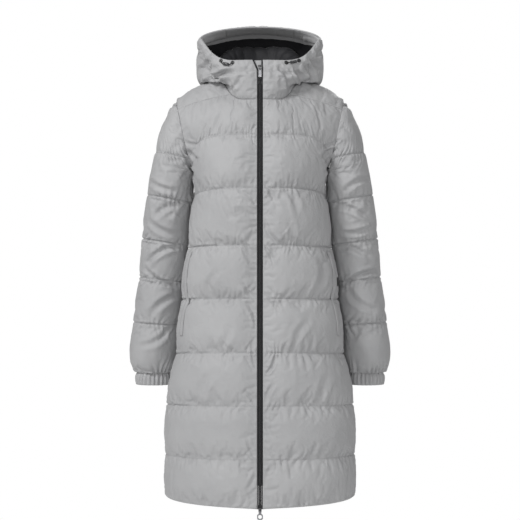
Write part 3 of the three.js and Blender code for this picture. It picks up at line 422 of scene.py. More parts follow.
def yoke_grid():
    """The yoke: points from its neck down and from the left front round the back, puff, levels, columns"""
    shoulder = len(YOKE_ANGLES) - 1
    last_back = shoulder + len(BACK_COLUMNS) - 1
    total = last_back + shoulder
    coarse = np.arange(total + 1, dtype=float)
    back_top = back_rows()[-1]

    def edge_and_neck(c):
        right = np.where(c > last_back, total - c, c)
        column = np.interp(c, np.arange(shoulder, last_back + 1), BACK_COLUMNS)
        side = armhole(np.interp(right, range(shoulder + 1), YOKE_ANGLES))
        side[..., 0] *= np.where(c > last_back, -1, 1)
        back = back_row(column, back_top)
        behind = ((c >= shoulder) & (c <= last_back))[..., None]
        angle = np.interp(right, range(shoulder + 1), np.linspace(YOKE_NECK, BACK_NECK, shoulder + 1))
        angle = np.where(c > last_back, 360 - angle, angle)
        angle = np.where(behind[..., 0], BACK_NECK + (180 - BACK_NECK) * (1 - column), angle)
        return np.where(behind, back, side), angle

    edge, _ = edge_and_neck(coarse)
    c = fine_keys(coarse, steps_between(edge[:, None], STEP))
    edge, angle = edge_and_neck(c)
    neck = around(0, angle)
    rows = int(round(np.linalg.norm(edge - neck, axis=-1).mean() / STEP))
    share = np.linspace(1, 0, rows + 1)[:, None]
    from_front = np.minimum(c, total - c)
    turn = np.minimum(from_front / shoulder, 1)
    arch = 4 * share * (1 - share)
    rise = YOKE_BOW["rise"] * (1 + turn) + YOKE_BOW["shoulder"] * np.sin(np.pi * turn)
    points = lerp(neck[None], edge[None], share[..., None])
    points[..., 1] += YOKE_BOW["depth"] * np.cos(np.pi * turn) * arch
    points[..., 2] += rise * arch
    puff = YOKE_PUFF * baffle(share) * smooth(from_front, 0, YOKE_FADE)
    return points, puff, np.linspace(1, 0, rows + 1), c


def sleeve_ring(z, turn):
    """Points round the left sleeve at one height, from underneath (1) over the outside (0) and back (-1)"""
    a = np.pi * turn
    reach, width, y, depth, dip = (read(SLEEVE, z, name) for name in ("reach", "width", "y", "depth", "dip"))
    sway = ARMHOLE["sway"] * np.sin(a) * max(0, 1 + (z - SLEEVE["z"][0]) / SWAY_FADE)
    return vec(
        reach - width + width * np.cos(a) + sway,
        y + depth * np.sin(a),
        z - dip * (1 - np.cos(a)) / 2,
    )


def sleeve_grid():
    """The left sleeve: points from the shoulder down, puff, levels, turns, and the row closing the tube"""
    coarse = np.linspace(1, -1, SLEEVE_COLUMNS)
    counts = steps_between(sleeve_ring(SLEEVE_LINES[2], coarse)[:, None], STEP)
    turn = np.interp(fine_keys(np.arange(float(SLEEVE_COLUMNS)), counts), range(SLEEVE_COLUMNS), coarse)
    points = [armhole(YOKE_ANGLES[3] * turn)]
    fades, levels = [np.zeros_like(turn)], [0.0]
    for angle, z, reach, share, depth, rise in HEAD_ROWS:
        a = np.radians(angle * turn)
        cos_end = math.cos(math.radians(angle))
        swell = (np.cos(a) - cos_end) / (1 - cos_end)
        seam = armhole(angle)
        inner = seam[0] - ARMHOLE["sway"] * math.sin(math.radians(angle))
        points.append(vec(
            inner + ARMHOLE["sway"] * np.sin(a) + (reach - inner) * swell,
            ARMHOLE["y"] + lerp(depth, ARMHOLE["depth"], turn**6) * np.sin(a),
            lerp(seam[2], z, swell),
        ))
        fades.append((1 - np.abs(turn) ** rise) * lerp(1, SLEEVE_FLAT, 1 - np.abs(turn)))
        levels.append(share)
    closed_at = levels[-1]
    fade = SLEEVE_FLAT + (1 - SLEEVE_FLAT) * np.sin(np.pi * turn) ** 2
    for i in range(len(SLEEVE_LINES) - 1):
        for share in SLEEVE_STEPS:
            if 1 + i + share > closed_at:
                points.append(sleeve_ring(lerp(SLEEVE_LINES[i], SLEEVE_LINES[i + 1], share), turn))
                fades.append(fade)
                levels.append(1 + i + share)
    points, fade, level = fine_rows(points, fades, levels)
    closed_from = int(np.argmax(level >= closed_at - SAME))
    points[: closed_from + 1, [0, -1]] = on_armhole(points[: closed_from + 1, [0, -1]])
    return points, puff_of(level, SLEEVE_PUFFS) * fade, level, turn, closed_from


def hood_grid(low, high, puff_share=1.0):
    """A panel of the collar or hood between two angles: points from the neck up, puff, rings, angles"""
    coarse = np.arange(RIM + 1.0)
    angles = np.linspace(low, high, HOOD_ANGLES)
    ring = fine_keys(coarse, steps_between(around(coarse[:, None], angles[None]), STEP))
    length = np.linalg.norm(np.diff(around(HOOD_WIDEST, angles), axis=0), axis=-1).sum()
    angle = np.linspace(low, high, int(round(length / STEP)) + 1)
    points = around(ring[:, None], angle[None])
    edge = np.minimum(angle - low, high - angle) / (high - low)
    puff = np.maximum(read(HOOD, ring, "puff"), 0)[:, None] * smooth(edge, 0, HOOD_FADE)[None] * puff_share
    return points, puff, ring, angle


def turn_out(points):
    """Above the zip's top slider the right collar's edge turns out of the way"""
    rise = np.maximum(0, points[..., 2] - OPEN_TOP["z"]) / (HOOD["zFront"][-1] - OPEN_TOP["z"])
    edge = ZIP_HALF + (HOOD["width"][-1] - ZIP_HALF) * math.sin(math.radians(OPEN_TOP["angle"]))
    near = 1 - smooth(-points[..., 0], ZIP_HALF, edge)
    moved = points.copy()
    moved[..., 0] -= OPEN_TOP["turn"] * rise * near
    return moved


def turned_over(line):
    """A line on the left, put over to the right and turned out"""
    return turn_out((line * [-1, 1, 1])[None])[0]


def mirror(points):
    """A grid of points put over to the other side, with its columns turned round"""
    flipped = points[:, ::-1].copy()
    flipped[..., 0] *= -1
    return flipped


def grid_normals(points, closed_from=None):
    """Directions out of a grid's surface"""
    along = np.gradient(points, axis=0)
    across = np.gradient(points, axis=1)
    if closed_from is not None:
        wrapped = points[closed_from:, 1] - points[closed_from:, -2]
        across[closed_from:, 0] = wrapped
        across[closed_from:, -1] = wrapped
    return unit(np.cross(across, along))


def noise(rows, columns, cell_rows, cell_columns):
    """Soft uneven field of about -1 to 1, with bumps of the given size in cells"""
    coarse_rows = max(int(rows / cell_rows), 1) + 3
    coarse_columns = max(int(columns / cell_columns), 1) + 3
    field = rng.uniform(-1, 1, (coarse_rows, coarse_columns))
    field = spline(np.arange(coarse_rows), field, np.linspace(0.5, coarse_rows - 1.5, rows))
    return spline(np.arange(coarse_columns), field.T, np.linspace(0.5, coarse_columns - 1.5, columns)).T


# Creases laid one by one, by the place of their ends as seen from the front or back (side 1 or -1), how far
# they bow, their depth and their half width
CREASES = table("side x0 z0 x1 z1 bow depth width", [
    # Beside the zip
    (1, 9, -250, 38, -304, 3, 3, 5),
    (1, 10, -346, 45, -392, -4, 3.5, 5),
    (1, 12, -404, 34, -446, 3, 3, 4),
    (1, -9, -418, -44, -380, 4, 3.5, 5),
    (1, -10, -300, -40, -272, -3, 2.5, 4),
    (1, -9, -524, -38, -488, 3, 3.5, 4),
    (1, -9, -584, -28, -532, -4, 3.5, 5),
    (1, 10, -505, 44, -560, 5, 3, 5),
    (1, -9, -684, -18, -630, 3, 3.5, 4),
    (1, 15, -698, 36, -660, -3, 3.5, 4),
    (1, 9, -770, 32, -722, 3, 3, 5),
    (1, -10, -772, -34, -738, -3, 3, 4),
    (1, -9, -894, -30, -852, 3, 2.5, 4),
    (1, 10, -800, 30, -842, -4, 2.5, 5),
    (1, -9, -925, -30, -966, 3, 2, 5),
    (1, 9, -960, 26, -915, 3, 2, 5),
    # Chest and waist
    (1, 60, -268, 82, -318, 6, 3, 7),
    (1, -66, -330, -92, -276, -6, 2.5, 7),
    (1, 92, -396, 70, -352, 5, 2.5, 7),
    (1, 120, -516, 138, -440, -8, 3, 8),
    (1, -118, -515, -98, -462, 6, 2.5, 7),
    (1, 78, -640, 104, -580, 6, 2.5, 8),
    (1, -96, -640, -70, -592, -5, 2, 8),
    (1, -140, -765, -108, -700, 8, 2, 9),
    (1, 120, -765, 150, -712, -6, 2, 9),
    # From the armholes onto the chest
    (1, 184, -146, 150, -160, 3, 3.5, 4),
    (1, 181, -166, 138, -186, -3, 4, 5),
    (1, 178, -186, 146, -218, 4, 4, 5),
    (1, 172, -208, 150, -246, -3, 3, 5),
    (1, -184, -146, -148, -156, -3, 3.5, 4),
    (1, -181, -170, -142, -194, 3, 4, 5),
    (1, -178, -190, -150, -222, -4, 4, 5),
    (1, -170, -212, -146, -240, 3, 3, 5),
    # Sleeves: at the elbows and forearms
    (1, -206, -262, -262, -240, 5, 4, 6),
    (1, -198, -292, -246, -322, -6, 4, 6),
    (1, -206, -366, -262, -336, 6, 4, 7),
    (1, -210, -398, -268, -436, -7, 5, 6),
    (1, -212, -494, -276, -452, 7, 5, 6),
    (1, -216, -520, -262, -560, -6, 4, 7),
    (1, -232, -604, -284, -640, 8, 3, 7),
    (1, 208, -260, 258, -232, 5, 4, 6),
    (1, 200, -300, 262, -334, 6, 4.5, 6),
    (1, 208, -362, 270, -346, -6, 5, 6),
    (1, 212, -396, 262, -424, 5, 4, 7),
    (1, 214, -486, 284, -456, 7, 5, 6),
    (1, 222, -506, 276, -552, -8, 4, 7),
    (1, 236, -612, 280, -582, 6, 3, 7),
    # Hood sides and collar
    (1, -128, -6, -70, 14, 6, 11, 6),
    (1, -124, 24, -88, -4, -5, 10, 6),
    (1, 46, 23, 68, -12, 4, 7, 5),
    (1, 84, 26, 112, -6, -5, 11, 6),
    (1, 108, 36, 122, -8, 4, 10, 6),
    (1, -40, 8, -64, -22, 3, 3, 5),
    (1, -140, 30, -112, 62, -6, 4, 7),
    (1, 142, 34, 118, 70, 6, 4, 7),
    # Back
    (-1, 20, -262, 46, -322, 6, 3, 7),
    (-1, -30, -392, -58, -338, -6, 3, 7),
    (-1, 90, -390, 60, -330, 7, 3, 8),
    (-1, -110, -270, -76, -316, 6, 3, 7),
    (-1, 24, -518, 40, -446, -6, 3, 8),
    (-1, -90, -515, -64, -452, 8, 3, 8),
    (-1, 128, -500, 100, -430, -6, 3, 8),
    (-1, -20, -640, 4, -574, 6, 2.5, 8),
    (-1, 88, -642, 70, -590, -6, 2.5, 8),
    (-1, -130, -638, -110, -580, 6, 2.5, 8),
    (-1, 50, -765, 76, -700, 7, 2.5, 9),
    (-1, -84, -768, -60, -705, -7, 2.5, 9),
    (-1, 10, -890, 30, -828, 6, 2, 9),
    (-1, 176, -170, 134, -190, 4, 4, 5),
    (-1, 172, -200, 138, -234, -4, 3.5, 5),
    (-1, -176, -168, -136, -192, -4, 4, 5),
    (-1, -172, -204, -140, -232, 4, 3.5, 5),
    (-1, 214, -380, 272, -350, 6, 4, 7),
    (-1, -214, -388, -270, -346, -6, 4, 7),
    (-1, 218, -488, 280, -462, 6, 4, 6),
    (-1, -218, -492, -282, -458, -6, 4, 6),
    (-1, 30, 40, 52, 96, 6, 3, 8),
    (-1, -36, 36, -60, 88, -6, 3, 8),
    (-1, 96, -20, 110, 40, 6, 3.5, 8),
    (-1, -98, -16, -112, 44, -6, 3.5, 8),
])


CREASE_SHAPE = {"ridge": 0.7, "beside": 1.7, "steep": 1.6, "end": 0.08, "facing": (0.05, 0.35)}


def crease_relief(points, normals):
    """Height added by the creases: a soft trough with a lower ridge along each side"""
    flat = points[..., [0, 2]]
    relief = np.zeros(flat.shape[:2])
    ridge = CREASE_SHAPE["ridge"]
    for side, x0, z0, x1, z1, bow, depth, width in zip(*CREASES.values()):
        start = np.array([x0, z0])
        line = np.array([x1, z1]) - start
        length = np.linalg.norm(line)
        square = np.array([-line[1], line[0]]) / length
        t = ((flat - start) @ line) / length**2
        inside = np.clip(t, 0, 1)
        across = (flat - start) @ square - bow * 4 * inside * (1 - inside)
        past = (t - inside) * length
        away = np.hypot(across, past) / width
        end = CREASE_SHAPE["end"]
        fade = np.sqrt(np.sin(np.pi * np.clip(end + (1 - 2 * end) * inside, 0, 1)))
        beside = (np.abs(across) / width - CREASE_SHAPE["beside"]) ** 2
        ridges = ridge * np.exp(-beside * CREASE_SHAPE["steep"] - (past / width) ** 2)
        facing = smooth(-side * normals[..., 1], *CREASE_SHAPE["facing"])
        relief += facing * depth * fade * (ridges - np.exp(-(away**2)))
    return relief


def add_object(name, points, faces, uv=None, smooth_shading=True):
    """A mesh object from points in mm"""
    mesh = bpy.data.meshes.new(name)
    mesh.from_pydata((np.asarray(points, float).reshape(-1, 3) * MM).tolist(), [], faces)
    if uv is not None:
        layer = mesh.attributes.new("cloth", "FLOAT_VECTOR", "POINT")
        flat = np.concatenate([uv.reshape(-1, 2), np.zeros((uv.size // 2, 1))], axis=1) * MM
        layer.data.foreach_set("vector", flat.reshape(-1))
    mesh.polygons.foreach_set("use_smooth", np.full(len(mesh.polygons), smooth_shading))
    mesh.update()
    obj = bpy.data.objects.new(name, mesh)
    scene.collection.objects.link(obj)
    return obj


def arc_uv(points):
    """Cloth coordinates of a grid, in mm along its rows and columns"""
    across = np.linalg.norm(np.diff(points, axis=1), axis=-1).mean(axis=0)
    along = np.linalg.norm(np.diff(points, axis=0), axis=-1).mean(axis=1)
    u = np.concatenate([[0], np.cumsum(across)])
    v = np.concatenate([[0], np.cumsum(along)])
    return np.stack(np.meshgrid(u, v), axis=-1)


def grid_faces(index, flip=False):
    """Quads between the points of a grid of numbers, with repeated corners left out"""
    a, b, c, d = index[:-1, :-1], index[:-1, 1:], index[1:, 1:], index[1:, :-1]
    order = [d, c, b, a] if flip else [a, b, c, d]
    faces = []
    for face in np.stack(order, axis=-1).reshape(-1, 4).tolist():
        kept = [point for i, point in enumerate(face) if point != face[i - 1]]
        if len(set(kept)) == len(kept) and len(kept) > 2:
            faces.append(kept)
    return faces


def numbered(grid):
    """The different points of a grid, and the grid of their numbers"""
    flat = np.round(grid.reshape(-1, 3) / WELD).astype(int)
    _, used, inverse = np.unique(flat, axis=0, return_index=True, return_inverse=True)
    return used, inverse.reshape(grid.shape[:2])


def edge_turned(grid, normals):
    """The grid with two more rows and columns round it, which turn the edge in over the wall"""
    pad = ((2, 2), (2, 2), (0, 0))
    grid = np.pad(grid, pad, mode="edge")
    normals = np.pad(normals, pad, mode="edge")
    rows, columns = grid.shape[:2]
    r = np.arange(rows)[:, None] + np.zeros((1, columns), int)
    c = np.arange(columns)[None] + np.zeros((rows, 1), int)
    ring = np.maximum.reduce([2 - r, r - rows + 3, 2 - c, c - columns + 3]).clip(0, 2)
    return grid - normals * (np.array([0, 0.5, 1])[ring] * WALL)[..., None]


def thin(grid):
    """Every second row and column, with the edges kept"""
    rows = np.unique([*range(0, grid.shape[0], 2), grid.shape[0] - 1])
    columns = np.unique([*range(0, grid.shape[1], 2), grid.shape[1] - 1])
    return grid[rows][:, columns]


def blur(field, cells):
    """Field averaged softly over about this many cells each way"""
    weights = np.exp(-0.5 * (np.arange(-2 * cells, 2 * cells + 1) / cells) ** 2)
    weights /= weights.sum()
    for _ in range(2):
        size = field.shape[0]
        wide = np.pad(field, ((2 * cells, 2 * cells), (0, 0)), mode="edge")
        field = sum(weight * wide[i : i + size] for i, weight in enumerate(weights)).T
    return field


def finer(grid):
    """The grid with a point put between each two, on smooth curves"""
    for _ in range(2):
        size = grid.shape[0]
        grid = spline(np.arange(size), grid, np.arange(2 * size - 1) / 2)
        grid = np.swapaxes(grid, 0, 1)
    return grid


def sample(grid, row, column):
    """The grid's values at places between its rows and columns"""
    r = np.clip(np.floor(row).astype(int), 0, grid.shape[0] - 2)
    c = np.clip(np.floor(column).astype(int), 0, grid.shape[1] - 2)
    s = np.clip(row - r, 0, 1)[..., None]
    t = np.clip(column - c, 0, 1)[..., None]
    return lerp(lerp(grid[r, c], grid[r, c + 1], t), lerp(grid[r + 1, c], grid[r + 1, c + 1], t), s)


def cloth_object(name, grids, material, replaces=None, flip=False):
    """One object of the surface in one or more grids, with its touching points welded"""
    points = np.concatenate([grid.reshape(-1, 3) for grid in grids])
    used, number = numbered(points[:, None])
    faces = []
    start = 0
    for grid in grids:
        size = grid.shape[0] * grid.shape[1]
        faces += grid_faces(number[start : start + size].reshape(grid.shape[:2]), flip)
        start += size
    uv = np.concatenate([arc_uv(grid).reshape(-1, 2) for grid in grids])[used]
    obj = add_object(name, points[used], faces, uv)
    obj.data.materials.append(material)
    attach(obj, "coat")
    if replaces:
        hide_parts(replaces)
    return obj


# Puffed panels: the quilted outside of each padded piece is blown up as cloth between its stitch lines
STEP = 5.0
START = 0.6  # share of the puff that the cloth starts from
RUFFLES = [((5, 2.2), 0.7), ((14, 7), 0.6)]  # unevenness that it starts with: size in cells and height
RUFFLE_FULL = 4  # puff, in mm, from which the unevenness is full
EDGE_FADE = 2.2  # how fast the gathers and creases fade out at a panel's edges
FRAMES = 20
PRESSURE = 5.0
CLOTH = {
    "quality": 5, "mass": 0.3, "tension_stiffness": 12, "compression_stiffness": 12, "shear_stiffness": 4,
    "bending_stiffness": 0.1, "vertex_group_mass": "sewn", "shrink_min": -0.05, "shrink_max": -0.05,
    "use_pressure": True, "use_pressure_volume": True, "target_volume": 0,
}
CAP = 8.0  # furthest that the cloth may leave the solids' surface
LEVEL_CELLS = 4  # swelling that is even over this many cells is taken back
PUCKERS = {
    "height": 6.5, "wave": 14, "reach": 13, "edge": 0.5, "start": 4, "wander": 1.1, "power": 0.85,
    "sunk": 0.62, "strength": 0.6, "varies": 0.5,
}
SLEEVE_PUCKERS = {"strength": 1.6, "strength_at_cuff": 2.2, "reach": 1.1, "reach_at_cuff": 1.2}
# Where the sleeve lies against the body its quilt lines sink less: heights, and how far they are filled
PRESSED_LINES = {"z": (-284, -390), "fill": 7, "reach": 16, "from": 0.72}
FLOOR_DEPTH = 2.0  # deepest that the outside may go below the stitch lines' level
SEAT_REACH = (6, 13)  # the cloth is flat round an eyelet to the first distance, and free from the second
SEAT_DEPTH = 0.4
# Where the shoulder's outline is evened out: place across and up, the move there, and how far it reaches
SHOULDER_MOVES = [(205, -38, 0, 4.5, 9), (236, -76, -4.0, -1.6, 20), (198, -25, -1.2, -2.2, 10)]
WELD = 0.02  # points closer than this, in mm, are one
EACH_LINE = range(len(QUILT["front"]) + 1)  # levels of the quilt lines that are sewn down


def shoulder_shaped(points):
    """The sleeve seam is not pulled in over the shoulder, and the sleeve's head stands up less"""
    moved = points.copy()
    across = np.abs(points[..., 0])
    for x, z, move_out, move_up, reach in SHOULDER_MOVES:
        near = np.exp(-((across - x) ** 2 + (points[..., 2] - z) ** 2) / reach**2)
        moved[..., 0] += near * move_out * np.sign(points[..., 0])
        moved[..., 2] += near * move_up
    return moved


class Panel:
    """One padded piece: a grid of points at the stitch lines' level, its puff, and where it is sewn down"""

    def __init__(
        self, name, made, closed_from=None, pressure=1.0, cap=CAP, lines=EACH_LINE, pucker=1.0,
        floor=FLOOR_DEPTH, seats=(),
    ):
        self.name = name
        self.points, self.puff, self.level, self.column = made
        self.closed_from = closed_from
        self.pressure = pressure
        self.cap = cap
        self.pucker = pucker
        self.floor = floor
        self.seats = seats
        self.normals = grid_normals(self.points, closed_from)
        self.normals[np.abs(self.points[..., 1] - CENTRE_Y) < 0.01, 1] = 0
        self.normals = unit(self.normals)
        shape = self.puff.shape
        sewn = np.min(np.abs(self.level[:, None] - np.array(lines, float)), axis=1) < SAME
        self.sewn = np.flatnonzero(sewn)
        self.pinned = np.zeros(shape, bool)
        self.pinned[sewn] = True
        self.pinned[[0, -1]] = True
        last = shape[0] if closed_from is None else closed_from + 1
        self.pinned[:last, [0, -1]] = True
        ruffle = sum(noise(*shape, *cells) * height for cells, height in RUFFLES)
        fade = np.clip(self.puff / RUFFLE_FULL, 0, 1)
        self.target = self.points + self.normals * self.puff[..., None]
        self.start = self.points + self.normals * (self.puff * START + ruffle * fade)[..., None]

    def start_cloth(self):
        """A bare copy of the surface, set up to be blown up"""
        used, self.index = numbered(self.start)
        self.bare = add_object(self.name + "_bare", self.start.reshape(-1, 3)[used], grid_faces(self.index))
        group = self.bare.vertex_groups.new(name="sewn")
        group.add(np.flatnonzero(self.pinned.reshape(-1)[used]).tolist(), 1.0, "REPLACE")
        cloth = self.bare.modifiers.new("puff", "CLOTH")
        for key, value in CLOTH.items():
            setattr(cloth.settings, key, value)
        cloth.settings.uniform_pressure_force = PRESSURE * self.pressure
        cloth.settings.effector_weights.gravity = 0
        cloth.collision_settings.use_collision = False
        cloth.collision_settings.use_self_collision = False
        cloth.point_cache.frame_start = 1
        cloth.point_cache.frame_end = FRAMES

    def take_cloth(self, depsgraph):
        """The blown-up cloth as a grid, in mm"""
        evaluated = self.bare.evaluated_get(depsgraph)
        mesh = evaluated.to_mesh()
        points = np.empty(len(mesh.vertices) * 3)
        mesh.vertices.foreach_get("co", points)
        evaluated.to_mesh_clear()
        return points.reshape(-1, 3)[self.index] / MM

    def settled(self, blown):
        """As full as the solid on the whole, with the folds of the blown-up cloth"""
        move = blown - self.target
        swell = blur((move * self.normals).sum(axis=-1), LEVEL_CELLS)
        move = move - self.normals * swell[..., None]
        length = np.maximum(np.linalg.norm(move, axis=-1, keepdims=True), 1e-6)
        limit = np.minimum(self.cap, 1 + self.puff)[..., None]
        grid = self.target + move * limit * np.tanh(length / limit) / length
        return np.where(self.pinned[..., None], self.target, grid)

    def puckers(self, flat):
        """Small gathers that run away from the stitch lines and the edges"""
        uv = arc_uv(flat)
        u = uv[..., 0]
        v = uv[..., 1]
        rows, columns = u.shape
        from_line = np.min(np.abs(v[..., None] - v[self.sewn * 2, 0]), axis=-1)
        from_edge = np.minimum(u, u[0, -1] - u)
        wander = PUCKERS["wander"] * noise(rows, columns, 15, 15)
        strength = PUCKERS["strength"] + PUCKERS["varies"] * noise(rows, columns, 24, 12)
        reach = PUCKERS["reach"] * (1 + PUCKERS["varies"] * noise(rows, columns, 30, 7))
        if self.closed_from is not None:
            level = np.interp(np.arange(rows) / 2, range(len(self.level)), self.level)[:, None]
            gathered = smooth(level, len(SLEEVE_PUFFS) - 0.5, len(SLEEVE_PUFFS))
            strength *= SLEEVE_PUCKERS["strength"] + SLEEVE_PUCKERS["strength_at_cuff"] * gathered
            reach *= SLEEVE_PUCKERS["reach"] + SLEEVE_PUCKERS["reach_at_cuff"] * gathered

        def gathers(along, away):
            wave = np.abs(np.sin(np.pi * (along / PUCKERS["wave"] + wander))) ** PUCKERS["power"]
            height = wave - PUCKERS["sunk"]
            return height * smooth(away, 0, PUCKERS["start"]) * np.exp(-away / reach)

        beside = gathers(v, from_edge) * PUCKERS["edge"] if self.closed_from is None else 0
        return self.pucker * PUCKERS["height"] * strength * (gathers(u, from_line) + beside)

    def dress(self, coarse, material, inside_material):
        """Builds the panel's outside from the coarse grid of its cloth, and its inside"""
        flat = finer(self.points)
        normals = unit(finer(self.normals))
        grid = finer(coarse)
        edge = np.zeros(grid.shape[:2])
        edge[[0, -1]] = 1
        edge[:, [0, -1]] = 1 if self.closed_from is None else 0
        inner = 1 - np.clip(blur(edge, 1) * EDGE_FADE, 0, 1)
        relief = (self.puckers(flat) + crease_relief(flat, normals)) * inner
        if self.closed_from is not None:
            turn = np.interp(np.arange(flat.shape[1]) / 2, range(len(self.column)), self.column)
            inward = smooth(np.abs(turn), PRESSED_LINES["from"], 1)
            for z in PRESSED_LINES["z"]:
                near = np.exp(-(((flat[..., 2] - z) / PRESSED_LINES["reach"]) ** 2))
                relief += PRESSED_LINES["fill"] * near * inward
        grid = grid + normals * relief[..., None]
        sunk = -self.floor - ((grid - flat) * normals).sum(axis=-1)
        grid = grid + normals * np.maximum(sunk, 0)[..., None]
        for seat, out in self.seats:
            under = 1 - smooth(np.linalg.norm(grid - seat, axis=-1), *SEAT_REACH)
            grid = grid - out * (under * ((grid - seat) @ out + SEAT_DEPTH))[..., None]
        self.outer = shoulder_shaped(grid)
        self.flat = flat
        self.fine_normals = normals
        closed = None if self.closed_from is None else self.closed_from * 2
        self.outer_normals = grid_normals(self.outer, closed)
        if self.closed_from is None:
            grids = [edge_turned(self.outer, normals)]
        else:
            grids = [self.outer, self.armhole_edge(closed)]
        outside = cloth_object(self.name + "_cloth", grids, material, self.name)
        if inside_material:
            grid = thin(self.points - self.normals * WALL)
            inside = cloth_object(self.name + "_inside", [grid], inside_material, flip=True)

    def armhole_edge(self, closed):
        """The sleeve's edge along the armhole, turned in"""
        line, out = (
            np.concatenate([grid[closed::-1, 0], grid[0], grid[: closed + 1, -1]])
            for grid in (self.outer, self.fine_normals)
        )
        return np.stack([line - out * WALL, line])


def made_mirror(made):
    """A panel's points, puff, levels and columns put over to the other side"""
    points, puff, level, column = made
    return mirror(points), puff[:, ::-1], level, column[::-1]


# Materials
def new_material(name, colour, roughness, metallic=0.0, sheen=0.0, specular=0.5):
    """A material, its node tree and its shader"""
    made = bpy.data.materials.new(name)
    made.use_nodes = True
    shader = made.node_tree.nodes["Principled BSDF"]
    values = {
        "Base Color": (*colour, 1), "Roughness": roughness, "Metallic": metallic, "Sheen Weight": sheen,
        "Sheen Roughness": 0.4, "Specular IOR Level": specular,
    }
    for key, value in values.items():
        shader.inputs[key].default_value = value
    return made, made.node_tree, shader


def node(tree, kind, **values):
    """A node with values for its inputs or settings"""
    made = tree.nodes.new(kind)
    for key, value in values.items():
        if key in made.inputs:
            made.inputs[key].default_value = value
        else:
            setattr(made, key, value)
    return made


def noise_node(tree, source, scale, detail=3.0, distortion=0.0):
    made = node(tree, "ShaderNodeTexNoise", Scale=scale, Detail=detail, Distortion=distortion)
    tree.links.new(source, made.inputs["Vector"])
    return made.outputs["Fac"]


def wave_node(tree, source, direction, scale):
    made = node(tree, "ShaderNodeTexWave", bands_direction=direction, Scale=scale)
    tree.links.new(source, made.inputs["Vector"])
    return made.outputs["Fac"]


def join(tree, operation, *values):
    made = node(tree, "ShaderNodeMath", operation=operation)
    for i, value in enumerate(values):
        tree.links.new(value, made.inputs[i])
    return made.outputs[0]


def vary_colour(tree, shader, fac, low, high):
    ramp = node(tree, "ShaderNodeValToRGB")
    for element, position, colour in zip(ramp.color_ramp.elements, (0.3, 0.7), (low, high)):
        element.position = position
        element.color = (*colour, 1)
    tree.links.new(fac, ramp.inputs["Fac"])
    tree.links.new(ramp.outputs["Color"], shader.inputs["Base Color"])


def vary_roughness(tree, shader, fac, low, high):
    span = node(tree, "ShaderNodeMapRange", **{"To Min": low, "To Max": high})
    tree.links.new(fac, span.inputs["Value"])
    tree.links.new(span.outputs["Result"], shader.inputs["Roughness"])


def add_bump(tree, shader, layers):
    """Layers of height, each with the depth in mm that it stands for"""
    normal = None
    for height, depth in layers:
        bump = node(tree, "ShaderNodeBump", Strength=1.0, Distance=depth * MM)
        tree.links.new(height, bump.inputs["Height"])
        if normal is not None:
            tree.links.new(normal, bump.inputs["Normal"])
        normal = bump.outputs["Normal"]
    tree.links.new(normal, shader.inputs["Normal"])


def places(tree):
    """Coordinates on the object, and along the threads of the cloth"""
    space = node(tree, "ShaderNodeTexCoord").outputs["Object"]
    threads = node(tree, "ShaderNodeAttribute", attribute_name="cloth").outputs["Vector"]
    return space, threads


THREADS = 620.0


def woven(name, low, high, roughness, sheen, crinkle, specular=0.4):
    """Plain-woven fabric: fine threads, soft crinkles, and a slightly uneven colour and gloss"""
    made, tree, shader = new_material(name, high, roughness, sheen=sheen, specular=specular)
    space, threads = places(tree)
    weave = join(tree, "ADD", wave_node(tree, threads, "X", THREADS), wave_node(tree, threads, "Y", THREADS))
    cloudy = noise_node(tree, space, 9.0, 4.0)
    vary_colour(tree, shader, cloudy, low, high)
    vary_roughness(tree, shader, noise_node(tree, space, 40.0), roughness - 0.06, roughness + 0.08)
    wide = noise_node(tree, space, 34.0, 2.0, 1.2)
    small = noise_node(tree, space, 120.0, 3.0, 0.8)
    add_bump(tree, shader, [(wide, 1.3 * crinkle), (small, 0.45 * crinkle), (weave, 0.03)])
    return made


shell = woven("shell_fabric", (0.325, 0.326, 0.332), (0.365, 0.366, 0.371), 0.6, 0.15, 1.0, specular=0.3)
# Painted light: the facing is the shell's own fabric, given a lighter colour than the shell so that the
# inside of the hood, which gets little light, looks lit
facing_fabric_painted_light = woven("facing_fabric_painted_light", (0.46, 0.461, 0.467), (0.5, 0.501, 0.506), 0.5, 0.2, 0.6)
lining_fabric = woven(
    "lining_fabric", (0.016, 0.016, 0.018), (0.024, 0.024, 0.026), 0.55, 0.05, 1.0, specular=0.15,
)
thread_fabric = woven("sewing_thread", (0.24, 0.24, 0.245), (0.3, 0.3, 0.305), 0.6, 0.2, 0.2)


def ribbed(name, low, high, roughness, scale):
    """Narrow woven tape or braid with ribs"""
    made, tree, shader = new_material(name, high, roughness, sheen=0.15, specular=0.35)
    space, threads = places(tree)
    ribs = wave_node(tree, threads, "Y", scale)
    vary_colour(tree, shader, join(tree, "MULTIPLY", ribs, noise_node(tree, space, 60.0)), low, high)
    vary_roughness(tree, shader, ribs, roughness - 0.08, roughness + 0.08)
    add_bump(tree, shader, [(ribs, 0.12), (noise_node(tree, space, 300.0), 0.05)])
    return made


tape_fabric = ribbed("zip_tape", (0.006, 0.006, 0.007), (0.016, 0.016, 0.018), 0.62, 250.0)
cord_fabric = ribbed("braided_cord", (0.012, 0.012, 0.013), (0.035, 0.035, 0.037), 0.6, 180.0)
tab_fabric = ribbed("tab_tape", (0.005, 0.005, 0.006), (0.014, 0.014, 0.015), 0.6, 300.0)


def moulded(name, low, high, roughness, metallic=0.0, grain=0.03, wear=0.08):
    """Plastic or metal with fine unevenness and wear in its gloss"""
    made, tree, shader = new_material(name, high, roughness, metallic=metallic)
    space, _ = places(tree)
    fine = noise_node(tree, space, 900.0, 4.0)
    broad = noise_node(tree, space, 160.0, 3.0)
    vary_colour(tree, shader, broad, low, high)
    vary_roughness(tree, shader, fine, roughness - wear, roughness + wear)
    add_bump(tree, shader, [(fine, grain)])
    return made


